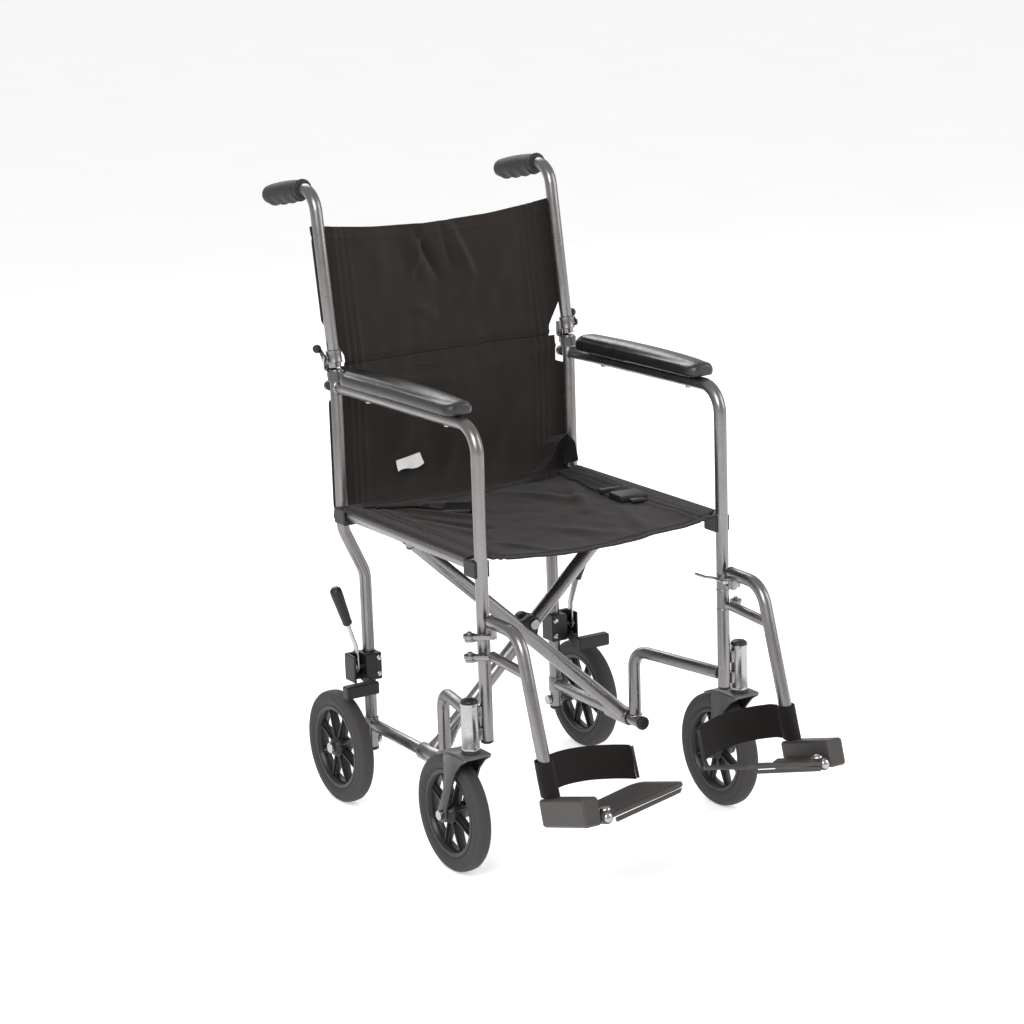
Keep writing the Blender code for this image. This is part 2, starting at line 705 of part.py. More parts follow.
def hanger(tag, side, parent):
    """Swing-away hanger: bent tube, strut, and the two hinge bars that sit on the pins."""
    x = side * POST_X
    corner = (x, FRONT_Y - 0.0980, 0.3890)
    end, _, up = footrest_frame(side)
    path = rounded_path([(x, FRONT_Y - 0.0215, 0.3900), corner, end + up * 0.0212], [0.042], 6)
    made = add(f"hanger_{tag}", sweep(path, TUBE_R, up=(1, 0, 0)), "steel_tube", parent)
    low, high = LUG_Z[0] + LUG_THICK + GAP, LUG_Z[1] + LUG_THICK + GAP
    eyes = [
        cylinder((side * HANGER_PIN_X, FRONT_Y, z), (side * HANGER_PIN_X, FRONT_Y, z + 0.006), 0.0088, 14)
        for z in (low, high)
    ]
    bars = [hanger_bar(side, z, 0.006) for z in (low, high)]
    web = box((x - 0.004, FRONT_Y - 0.0310, high + 0.001), (x + 0.004, FRONT_Y - 0.0200, 0.386))
    strut = cylinder((x, FRONT_Y - 0.0225, low + 0.0045), (x, FRONT_Y - 0.1120, low - 0.001), 0.0075, 10)
    tab_y = (FRONT_Y - 0.0320, FRONT_Y - 0.0235)
    tab = sided_box(side, (POST_X - 0.0185, POST_X - 0.004), tab_y, (0.3835, 0.3865))
    pin = (side * LATCH_PIN[0], LATCH_PIN[1])
    latch_pin = cylinder((*pin, 0.3765), (*pin, 0.385), 0.0015, 8)
    combine(made, "UNION", *bars, *eyes, web, strut, tab, latch_pin)
    pins = cylinder((side * HANGER_PIN_X, FRONT_Y, 0.30), (side * HANGER_PIN_X, FRONT_Y, 0.42), 0.0043, 12)
    return combine(made, "DIFFERENCE", pins)


def footrest_block(tag, side, parent):
    """Moulded block under the hanger that carries the footplate's hinge barrel."""
    block = oriented(box((-0.0140, -0.0140, -0.0210), (0.0130, 0.1050, 0.0190), 0.003), side)
    return add(f"footrest_block_{tag}", block, "black_plastic", parent)


def footplate(tag, side, parent):
    """Flip-up footplate with its hinge barrel along the block."""
    pivot_in = 0.0232
    shape = cylinder((pivot_in, -0.012, -0.013), (pivot_in, 0.104, -0.013), 0.0088, 14)
    made = add(f"footplate_{tag}", oriented(shape, side), "black_plastic", parent)
    corner = 0.022
    outline = [(0, PLATE_REAR + 0.012), (0, PLATE_FRONT - 0.004)]
    outline += arc((PLATE_REACH - corner, PLATE_FRONT - corner), corner, 90, 0, 4)
    outline += arc((PLATE_REACH - corner, PLATE_REAR + corner), corner, 0, -90, 4)
    plate = slab(outline, "z", -0.0040, 0.0040)
    tilt = Matrix.Translation((pivot_in, 0, -0.013)) @ Matrix.Rotation(-PLATE_TILT, 4, "Y")
    bmesh.ops.transform(plate, matrix=tilt, verts=plate.verts)
    return combine(made, "UNION", oriented(plate, side))


def heel_loop(tag, side, parent):
    """Webbing loop behind the heels, from the hanger round to the footplate's inner edge."""
    slope = 0.3233  # the hanger's run for each unit of drop; the strap leans with it
    outer = Vector((side * (POST_X + 0.004), FRONT_Y - 0.1480, 0.1945))
    inner = Vector((side * 0.0580, FRONT_Y - 0.1500, 0.1845))
    count = 12
    path, normals = [], []
    for index in range(count + 1):
        part = index / count
        bow = sin(pi * part)
        point = outer.lerp(inner, part) + Vector((0, 0.024 * bow**0.8, 0))
        path.append(point)
        normals.append((side * cos(pi * part) * 0.45, 1, -slope))
    return add(f"heel_loop_{tag}", ribbon(path, normals, 0.003, 0.050, (0, slope, 1)), "webbing", parent)


def footrest_release(tag, side, parent):
    """Thin latch lever on the inboard side of the front post, on a pin under the hanger's tab."""
    x, y = side * LATCH_PIN[0], LATCH_PIN[1]
    z = 0.3798
    path = [(x, y, z), (x, y + 0.030, z)]
    path += [(x - side * 0.003, y + 0.050, z - 0.002), (x - side * 0.008, y + 0.066, z)]
    made = add(f"footrest_release_{tag}", sweep(path, 0.0022, 8, 0.0022), "bright_steel", parent)
    combine(made, "UNION", cylinder((x, y, z - 0.0022), (x, y, z + 0.0022), 0.0040, 12))
    return combine(made, "DIFFERENCE", cylinder((x, y, z - 0.01), (x, y, z + 0.01), 0.0018, 8))


# ---------------------------------------------------------------- folding cross-brace
def brace_geometry(side):
    """Lower pivot on one lower rail and seat rail over the other, for the brace that rises to side."""
    low = Vector((-side * LOWER_X, LOWER_RAIL_Z + 0.001))
    high = Vector((side * POST_X, SEAT_RAIL_Z))
    return low, high


def brace(name, side, y, rail_ends, parent):
    """One half of the cross-brace: seat rail, diagonal tube, lug, gusset and lower sleeve in one piece."""
    low, high = brace_geometry(side)
    rail = sweep([(high.x, rail_ends[0], high.y), (high.x, rail_ends[1], high.y)], TUBE_R)
    made = add(name, rail, "steel_tube", parent)
    diagonal = sweep([(low.x, y, low.y), (high.x, y, high.y)], BRACE_R, up=(0, 1, 0))
    along = (high - low).normalized()
    sleeve = cylinder((low.x, SLEEVE_Y[0], low.y), (low.x, SLEEVE_Y[1], low.y), SLEEVE_R, 18)
    foot, reach = low + along * 0.012, low + along * 0.075
    over = Vector((-along.y, along.x)) * 0.0015
    gusset = bmesh.new()
    corners = []
    for shift in (over, -over):
        base = [(foot, SLEEVE_Y[0] + 0.001), (foot, SLEEVE_Y[1] - 0.001)]
        base += [(reach, y + 0.004), (reach, y - 0.004)]
        corners.append([gusset.verts.new((p.x + shift.x, depth, p.y + shift.y)) for p, depth in base])
    for k in range(4):
        gusset.faces.new((corners[0][k], corners[0][(k + 1) % 4], corners[1][(k + 1) % 4], corners[1][k]))
    gusset.faces.new(corners[0])
    gusset.faces.new(corners[1])
    up = Vector((-along.y, along.x)) * side
    base = low + along * (Vector((0, BRACE_PIVOT_Z)) - low).dot(along)
    start = degrees(atan2(along.y, along.x))
    sweep_round = arc((0, BRACE_PIVOT_Z), 0.0115, start, start + 180 * side, 8)
    outline = [tuple(base + along * 0.024), *sweep_round, tuple(base - along * 0.024)]
    lug = slab(outline, "y", y - 0.0085, y + 0.0085)
    combine(made, "UNION", diagonal, sleeve, gusset, lug)
    bore = cylinder((low.x, y - 0.05, low.y), (low.x, y + 0.08, low.y), TUBE_R + 0.0009, 16)
    hole = cylinder((0, y - 0.03, BRACE_PIVOT_Z), (0, y + 0.03, BRACE_PIVOT_Z), 0.0047, 12)
    return combine(made, "DIFFERENCE", bore, hole)


def brace_bolt(parent):
    """Pivot bolt through both lugs, with its head, nut and the spacer between the lugs."""
    z = BRACE_PIVOT_Z
    front, rear = BRACE_B_Y - 0.0085, BRACE_A_Y + 0.0085
    shank = cylinder((0, front - 0.004, z), (0, rear + 0.004, z), 0.0042, 12)
    made = add("brace_bolt", shank, "bright_steel", parent)
    spacer = (BRACE_B_Y + 0.0088, BRACE_A_Y - 0.0088)
    steps = ((front - 0.0052, front - 0.0004), (rear + 0.0004, rear + 0.0052), spacer)
    return combine(made, "UNION", *[cylinder((0, a, z), (0, b, z), 0.0078, 12) for a, b in steps])


# ---------------------------------------------------------------- fabric
def panel(name, columns, rows, thickness, finish, parent):
    """A closed sheet: columns run across, each a function of the row that gives a point and its normal."""
    shape = bmesh.new()
    sheets = []
    for shift in (thickness / 2, -thickness / 2):
        sheet = []
        for column in columns:
            points = [column(row) for row in rows]
            sheet.append([shape.verts.new(point + normal * shift) for point, normal in points])
        sheets.append(sheet)
    for sheet in sheets:
        for first, second in zip(sheet, sheet[1:]):
            for k in range(len(rows) - 1):
                shape.faces.new((first[k], first[k + 1], second[k + 1], second[k]))
    top, bottom = sheets
    count = len(columns)
    rim_of = [(c, 0) for c in range(count)]
    rim_of += [(count - 1, r) for r in range(1, len(rows))]
    rim_of += [(c, len(rows) - 1) for c in range(count - 2, -1, -1)]
    rim_of += [(0, r) for r in range(len(rows) - 2, 0, -1)]
    for (c, r), (d, s) in zip(rim_of, rim_of[1:] + rim_of[:1]):
        shape.faces.new((top[c][r], top[d][s], bottom[d][s], bottom[c][r]))
    return add(name, shape, finish, parent)


def seat_sling(parent):
    """Seat fabric between the two seat rails, with a shallow sag."""
    half = POST_X - 0.0170
    count = 12

    def column(index):
        x = -half + 2 * half * index / count
        sag = 0.015 * (1 - (x / half) ** 2)

        def at(y):
            return Vector((x, y, SEAT_RAIL_Z + TUBE_R + 0.001 - sag)), Vector((0, 0, 1))

        return at

    rows = [FRONT_Y - 0.003, FRONT_Y + 0.13, FRONT_Y + 0.26, CANE_Y - 0.016]
    return panel("seat_sling", [column(k) for k in range(count + 1)], rows, 0.005, "nylon", parent)


def back_panel(name, lean, bottom, top, parent):
    """Back fabric between the canes, bowed rearward in the middle."""
    half = POST_X - 0.0158
    count = 10
    sag = 0.020

    def column(index):
        x = -half + 2 * half * index / count

        def at(z):
            rise = max(0.0, z - HINGE_Z) * lean
            bow = sag * (1 - (x / half) ** 2)
            return Vector((x, CANE_Y + rise + bow, z)), Vector((0, 1, 0))

        return at

    rows = [bottom + (top - bottom) * k / 4 for k in range(5)]
    return panel(name, [column(k) for k in range(count + 1)], rows, 0.006, "nylon", parent)


def lap_belt(tag, side, parent):
    """Webbing strap that lies on the seat from the rear corner, with its buckle half."""
    start = Vector((side * (POST_X - 0.024), CANE_Y - 0.030))
    end = Vector(LAP_BELT_END[tag])
    half = POST_X - 0.017
    count = 8
    path, normals = [], []
    for index in range(count + 1):
        flat = start.lerp(end, index / count)
        sag = 0.015 * (1 - (flat.x / half) ** 2)
        path.append((flat.x, flat.y, SEAT_RAIL_Z + TUBE_R + 0.001 - sag + 0.0068))
        normals.append((0, 0, 1))
    across = (end - start).normalized()
    strap = ribbon(path, normals, 0.003, 0.038, (-across.y, across.x, 0))
    return add(f"lap_belt_{tag}", strap, "webbing", parent)


# ---------------------------------------------------------------- the chair
def side_frame(tag, side, root):
    """All the pieces of one side, each on its own joint's empty; side is -1 for right."""
    front_frame(tag, side, root)
    rear_post(tag, side, root)
    lower_frame(tag, side, root)
    caster_housing(tag, side, root)
    arm_pad(tag, side, root)
    seat_saddle(tag, side, "front", FRONT_Y, root)
    seat_saddle(tag, side, "rear", CANE_Y, root)
    back_hinge(tag, side, root)
    brake_bracket(tag, side, root)
    rear_axle(tag, side, root)

    cane = pivot(f"cane_pivot_{tag}", (side * POST_X, HINGE_Y, HINGE_Z), root)
    upper_cane(tag, side, cane)
    push_grip(tag, side, cane)
    release = pivot(f"release_pivot_{tag}", (side * POST_X, *RELEASE_PIN), cane)
    back_release(tag, side, release)

    swivel = pivot(f"caster_pivot_{tag}", (side * CASTER_X, FRONT_Y, HOUSING_LOW_Z), root)
    caster_fork(tag, side, swivel)
    front_axle(tag, side, swivel)
    front_centre = (side * CASTER_X, FRONT_Y + TRAIL, WHEEL_R)
    front_wheel = pivot(f"front_wheel_pivot_{tag}", front_centre, swivel)
    tyre(f"front_tyre_{tag}", front_centre, front_wheel)
    rim(f"front_rim_{tag}", front_centre, 0.0172, 0.0045, front_wheel)
    rear_centre = (side * REAR_WHEEL_X, REAR_AXLE_Y, WHEEL_R)
    rear_wheel = pivot(f"rear_wheel_pivot_{tag}", rear_centre, root)
    tyre(f"rear_tyre_{tag}", rear_centre, rear_wheel)
    rim(f"rear_rim_{tag}", rear_centre, 0.0148, 0.0053, rear_wheel)

    lever = pivot(f"brake_pivot_{tag}", (side * LOWER_X, *BRAKE_PIN), root)
    brake_lever(tag, side, lever)
    shoe = pivot(f"shoe_pivot_{tag}", (side * LOWER_X, *SHOE_PIN), root)
    brake_shoe(tag, side, shoe)

    swing = pivot(f"hanger_pivot_{tag}", (side * HANGER_PIN_X, FRONT_Y, LUG_Z[0]), root)
    hanger(tag, side, swing)
    footrest_block(tag, side, swing)
    heel_loop(tag, side, swing)
    end, _, up = footrest_frame(side)
    flip = pivot(f"footplate_pivot_{tag}", end + Vector((-side * 0.0232, 0, 0)) - up * 0.013, swing)
    footplate(tag, side, flip)
    latch = pivot(f"latch_pivot_{tag}", (side * LATCH_PIN[0], LATCH_PIN[1], 0.38), swing)
    footrest_release(tag, side, latch)


def main():
    clear_scene()
    root = pivot("right_side", (0, 0, 0))
    side_frame("r", -1, root)
    low, _ = brace_geometry(1)
    fold = pivot("fold_pivot", (low.x, BRACE_A_Y, low.y), root)
    rail_ends = (FRONT_Y + TUBE_R + 0.0045, CANE_Y - TUBE_R - 0.0045)
    brace("brace_a", 1, BRACE_A_Y, rail_ends, fold)
    brace_bolt(fold)
    scissor = pivot("scissor_pivot", (0, BRACE_B_Y, BRACE_PIVOT_Z), fold)
    brace("brace_b", -1, BRACE_B_Y, rail_ends, scissor)
    seat_sling(scissor)
    lap_belt("r", -1, scissor)
    lap_belt("l", 1, fold)
    low_left, _ = brace_geometry(-1)
    left = pivot("left_side", (low_left.x, BRACE_B_Y, low_left.y), scissor)
    side_frame("l", 1, left)
    back_panel("back_lower", 0.0, SEAT_RAIL_Z - 0.012, HINGE_Z - 0.004, root)
    cane = bpy.data.objects["cane_pivot_r"]
    back_panel("back_upper", CANE_LEAN, HINGE_Z + 0.004, 0.893, cane)


main()
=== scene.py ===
import logging
from dataclasses import dataclass
from enum import Enum
from math import cos, exp, pi, radians, sin, sqrt, tan
from typing import Callable, Sequence

import bpy
from mathutils import Matrix, Vector, noise


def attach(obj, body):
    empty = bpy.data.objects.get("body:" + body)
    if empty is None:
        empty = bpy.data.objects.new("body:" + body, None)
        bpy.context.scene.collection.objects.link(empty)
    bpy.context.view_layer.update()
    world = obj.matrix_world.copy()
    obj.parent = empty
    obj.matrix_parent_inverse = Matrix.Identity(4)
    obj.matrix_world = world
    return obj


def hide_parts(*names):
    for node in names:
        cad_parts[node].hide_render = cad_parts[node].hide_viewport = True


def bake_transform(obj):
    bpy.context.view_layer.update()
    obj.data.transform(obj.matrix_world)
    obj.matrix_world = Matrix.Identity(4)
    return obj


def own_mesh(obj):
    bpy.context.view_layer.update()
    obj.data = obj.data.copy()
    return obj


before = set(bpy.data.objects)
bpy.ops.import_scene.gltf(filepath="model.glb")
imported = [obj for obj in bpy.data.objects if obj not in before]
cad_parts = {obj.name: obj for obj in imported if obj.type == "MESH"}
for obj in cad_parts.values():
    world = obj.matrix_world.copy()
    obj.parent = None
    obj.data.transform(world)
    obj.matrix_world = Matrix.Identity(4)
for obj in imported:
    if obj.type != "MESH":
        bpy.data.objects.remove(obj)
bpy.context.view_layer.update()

LOG = logging.getLogger("wheelchair")
Point = Sequence[float]
Piece = bpy.types.Object

# ---------------------------------------------------------------- the frame's main lines
FRONT_Y = -0.1638
FRAME_DEPTH = 0.412
POST_X = 0.2096
LOWER_X = 0.171
CASTER_X = 0.2375
REAR_WHEEL_X = 0.2257
CANE_Y = FRONT_Y + FRAME_DEPTH
LOWER_POST_Y = FRONT_Y + 0.4185
REAR_AXLE_Y = FRONT_Y + 0.4215
FRONT_AXLE_Y = FRONT_Y + 0.0544
WHEEL_R = 0.0889
TUBE_R = 0.0095
HINGE_Y = CANE_Y + 0.0165
HINGE_Z = 0.69
CANE_LEAN = 0.161
CANE_TOP_Z = 0.9605
SEAT_RAIL_Z = 0.466
ARM_FRONT_Z = 0.669
ARM_DROP = 0.007
CLOTH_THICKNESS = 0.0026
STITCH = 0.0052
BACK_SEAMS = (0.155, 0.1665, 0.178)
BACK_STITCHES = (-0.1605, -0.172, 0.1605, 0.172)
SEAT_SEAMS = (0.172, 0.184)
SEAT_STITCHES = (-0.178, -0.19, 0.178, 0.19)
TOE_UP = radians(16)
RAIL_ENDS = (FRONT_Y + TUBE_R + 0.0045, CANE_Y - TUBE_R - 0.0045)


class Side(Enum):
    """The two sides of the chair, as the sign of x."""

    RIGHT = -1
    LEFT = 1

    @property
    def tag(self) -> str:
        """The letter that ends this side's piece and body names."""
        return "r" if self is Side.RIGHT else "l"

    @property
    def frame_body(self) -> str:
        """The CAD body of this side's frame."""
        return "right_frame" if self is Side.RIGHT else "left_frame"


# ---------------------------------------------------------------- bench work
def clear_hands() -> None:
    """Leaves edit mode and deselects every object."""
    held = bpy.context.view_layer.objects.active
    if held is not None and held.mode != "OBJECT":
        bpy.ops.object.mode_set(mode="OBJECT")
    bpy.ops.object.select_all(action="DESELECT")


def pick_up(piece: Piece) -> Piece:
    """Selects one piece alone and makes it active."""
    clear_hands()
    piece.select_set(True)
    bpy.context.view_layer.objects.active = piece
    return piece


def just_added() -> Piece:
    """Puts the new primitive's place, turn and scale into its mesh."""
    bpy.ops.object.transform_apply(location=True, rotation=True, scale=True)
    return bpy.context.object


def edit_all() -> None:
    """Enters edit mode on the active piece with all of it selected."""
    bpy.ops.object.mode_set(mode="EDIT")
    bpy.ops.mesh.select_all(action="SELECT")


def pull(step: Point) -> None:
    """Extrudes the selection by one step."""
    bpy.ops.mesh.extrude_region_move(TRANSFORM_OT_translate={"value": tuple(step)})


def close_up() -> None:
    """Caps open ends, turns the faces outwards and leaves edit mode."""
    bpy.ops.mesh.select_all(action="SELECT")
    bpy.ops.mesh.fill_holes(sides=0)
    bpy.ops.mesh.normals_make_consistent(inside=False)
    bpy.ops.object.mode_set(mode="OBJECT")


def facing(direction: Point) -> tuple[float, float, float]:
    """The rotation that points a primitive's own Z along a direction."""
    return tuple(Vector(direction).to_track_quat("Z", "Y").to_euler())


def bent_tube(corners: Sequence[Point], bends: Sequence[float], radius: float, sides: int = 28) -> Piece:
    """Draws a ring along a route: straight runs are extruded and bends are spun.

    Args:
        corners: The points where the tube's centre line would turn if it had sharp corners.
        bends: The bend radius at each inner corner.
        radius: The tube's outside radius.
        sides: Faces round the tube.

    Returns:
        The closed tube.
    """
    route = [Vector(c) for c in corners]
    clear_hands()
    bpy.ops.mesh.primitive_circle_add(
        vertices=sides, radius=radius, location=route[0], rotation=facing(route[1] - route[0])
    )
    tube = just_added()
    edit_all()
    here = route[0]
    for before, corner, after, bend in zip(route, route[1:], route[2:], bends):
        back, ahead = (before - corner).normalized(), (after - corner).normalized()
        half = back.angle(ahead) / 2
        reach = bend / tan(half)
        pull(corner + back * reach - here)
        bpy.ops.mesh.spin(
            steps=max(4, round((pi - 2 * half) / radians(9))),
            angle=2 * half - pi,
            center=corner + (back + ahead).normalized() * bend / sin(half),
            axis=(-back).cross(ahead).normalized(),
        )
        here = corner + ahead * reach
    pull(route[-1] - here)
    close_up()
    return tube


def rod(start: Point, end: Point, radius: float, end_radius: float | None = None, sides: int = 24) -> Piece:
    """A straight bar or taper between two points.

    Args:
        start: The middle of its first end.
        end: The middle of its other end.
        radius: The radius at the start.
        end_radius: The radius at the end, the same where left out.
        sides: Faces round the bar.

    Returns:
        The closed bar.
    """
    first, last = Vector(start), Vector(end)
    clear_hands()
    bpy.ops.mesh.primitive_cone_add(
        vertices=sides,
        radius1=radius,
        radius2=radius if end_radius is None else end_radius,
        depth=(last - first).length,
        location=(first + last) / 2,
        rotation=facing(last - first),
    )
    return just_added()


def block(low: Point, high: Point, edge: float = 0.001) -> Piece:
    """Makes a rectangular lump with its edges rounded in edit mode.

    Args:
        low: One corner.
        high: The corner across from it.
        edge: The rounding's width.

    Returns:
        The closed lump.
    """
    first, last = Vector(low), Vector(high)
    clear_hands()
    bpy.ops.mesh.primitive_cube_add(
        size=1, location=(first + last) / 2, scale=[abs(v) for v in last - first]
    )
    lump = just_added()
    edit_all()
    bpy.ops.mesh.bevel(offset=edge, segments=2, affect="EDGES")
    bpy.ops.mesh.normals_make_consistent(inside=False)
    bpy.ops.object.mode_set(mode="OBJECT")
    return lump


def plate(outline: Sequence[Point], place: Callable[[float, float], Point], step: Point) -> Piece:
    """Cuts a flat outline and gives it thickness.

    Args:
        outline: The corners, in order, as pairs.
        place: Gives the point in the chair for each pair.
        step: The thickness, as the extrusion's step.

    Returns:
        The closed plate.
    """
    clear_hands()
    bpy.ops.mesh.primitive_circle_add(vertices=len(outline), radius=0.01, fill_type="NGON")
    made = just_added()
    for vertex, (a, b) in zip(made.data.vertices, outline):
        vertex.co = place(a, b)
    edit_all()
    pull(step)
    close_up()
    return made


def turned(profile: Sequence[Point], centre: Point, axis: Point, steps: int = 48) -> Piece:
    """Turns a closed profile round an axis, as on a lathe.

    Args:
        profile: Pairs of distance along the axis and radius.
        centre: The point on the axis that the distances are measured from.
        axis: The axis' direction.
        steps: Faces round the piece.

    Returns:
        The closed solid.
    """
    line = Vector(axis).normalized()
    across = line.orthogonal().normalized()
    clear_hands()
    bpy.ops.mesh.primitive_circle_add(vertices=len(profile), radius=0.01)
    made = just_added()
    for vertex, (along, radius) in zip(made.data.vertices, profile):
        vertex.co = Vector(centre) + line * along + across * radius
    edit_all()
    bpy.ops.mesh.spin(steps=steps, angle=2 * pi, center=tuple(centre), axis=tuple(line))
    bpy.ops.mesh.select_all(action="SELECT")
    bpy.ops.mesh.remove_doubles(threshold=1e-5)
    bpy.ops.mesh.normals_make_consistent(inside=False)
    bpy.ops.object.mode_set(mode="OBJECT")
    return made


def woven_sheet(
    columns: int, rows: int, size: tuple[float, float], place: Callable[[float, float], Point]
) -> Piece:
    """Lays out a cloth from a grid, with its UV map in metres.

    Args:
        columns: Faces across.
        rows: Faces along.
        size: The cloth's flat width and length.
        place: Gives the point in the chair for each pair of shares, 0 to 1, across and along.

    Returns:
        The cloth, one layer thick.
    """
    clear_hands()
    bpy.ops.mesh.primitive_grid_add(x_subdivisions=columns, y_subdivisions=rows, size=1, calc_uvs=True)
    cloth = just_added()
    for vertex in cloth.data.vertices:
        vertex.co = place(vertex.co.x + 0.5, vertex.co.y + 0.5)
    for corner in cloth.data.uv_layers.active.data:
        corner.uv = (corner.uv.x * size[0], corner.uv.y * size[1])
    return cloth


def apply_modifier(piece: Piece, kind: str, **settings: object) -> Piece:
    """Adds one modifier with the given settings and applies it.

    Args:
        piece: The piece to change.
        kind: The modifier's type.
        **settings: Its settings by name.

    Returns:
        The changed piece.
    """
    pick_up(piece)
    modifier = piece.modifiers.new(kind.lower(), kind)
    for name, value in settings.items():
        setattr(modifier, name, value)
    bpy.ops.object.modifier_apply(modifier=modifier.name)
    return piece


def thicken(cloth: Piece, thickness: float) -> Piece:
    """Gives a cloth its thickness and rounds its look."""
    apply_modifier(cloth, "SOLIDIFY", thickness=thickness, offset=0.0)
    pick_up(cloth)
    bpy.ops.object.shade_smooth_by_angle(angle=radians(50))
    return cloth


def soften(piece: Piece, width: float = 0.0006, corner: float = 40.0) -> Piece:
    """Rounds a piece's sharp edges and shades it smooth between them.

    Args:
        piece: The piece to round.
        width: The rounding's width.
        corner: The least angle in degrees that counts as an edge.

    Returns:
        The rounded piece.
    """
    apply_modifier(
        piece, "BEVEL", width=width, segments=2, limit_method="ANGLE", angle_limit=radians(corner),
        harden_normals=False
    )
    pick_up(piece)
    bpy.ops.object.shade_smooth_by_angle(angle=radians(corner))
    return piece


def paint(piece: Piece, finish: bpy.types.Material) -> Piece:
    """Gives a piece one finish."""
    piece.data.materials.clear()
    piece.data.materials.append(finish)
    return piece


def weld(name: str, parts: Sequence[Piece]) -> Piece:
    """Joins parts into one named piece, each keeping its finish.

    Args:
        name: The piece's name.
        parts: What it is made of.

    Returns:
        The joined piece.
    """
    pick_up(parts[0])
    for part in parts[1:]:
        part.select_set(True)
    if len(parts) > 1:
        bpy.ops.object.join()
    made = bpy.context.view_layer.objects.active
    made.name = made.data.name = name
    return made


def copy_of(model: Piece, matrix: Matrix, name: str) -> Piece:
    """Copies a piece with its own mesh and moves the copy's mesh.

    Args:
        model: The piece to copy.
        matrix: Where the copy goes. Where it mirrors, the faces are turned back outwards.
        name: The copy's name.

    Returns:
        The copy, with its object at the origin.
    """
    made = model.copy()
    made.data = model.data.copy()
    made.name = made.data.name = name
    bpy.context.scene.collection.objects.link(made)
    made.data.transform(matrix)
    if matrix.determinant() < 0:
        made.data.flip_normals()
    return made


def mirrored(model: Piece, name: str) -> Piece:
    """The same piece for the other side of the chair."""
    return copy_of(model, Matrix.Scale(-1, 4, (1, 0, 0)), name)


def stitch_row(points: Sequence[Vector], outward: Vector, thread: bpy.types.Material) -> Piece:
    """Sews a row of stitches along points that are one stitch apart.

    Args:
        points: Where the needle goes through.
        outward: The cloth's outward direction.
        thread: The thread's finish.

    Returns:
        The stitches as one piece.
    """
    model = rod((0, 0, -0.5), (0, 0, 0.5), 0.00035, sides=6)
    row = []
    for first, last in zip(points, points[1:]):
        run = last - first
        lift = outward * 0.0003
        turn = run.to_track_quat("Z", "Y").to_matrix().to_4x4()
        matrix = Matrix.Translation((first + last) / 2 + lift) @ turn @ Matrix.Diagonal(
            (1, 1, run.length * 0.62, 1)
        )
        row.append(copy_of(model, matrix, "stitch"))
    bpy.data.objects.remove(model)
    return paint(weld("stitch_row", row), thread)


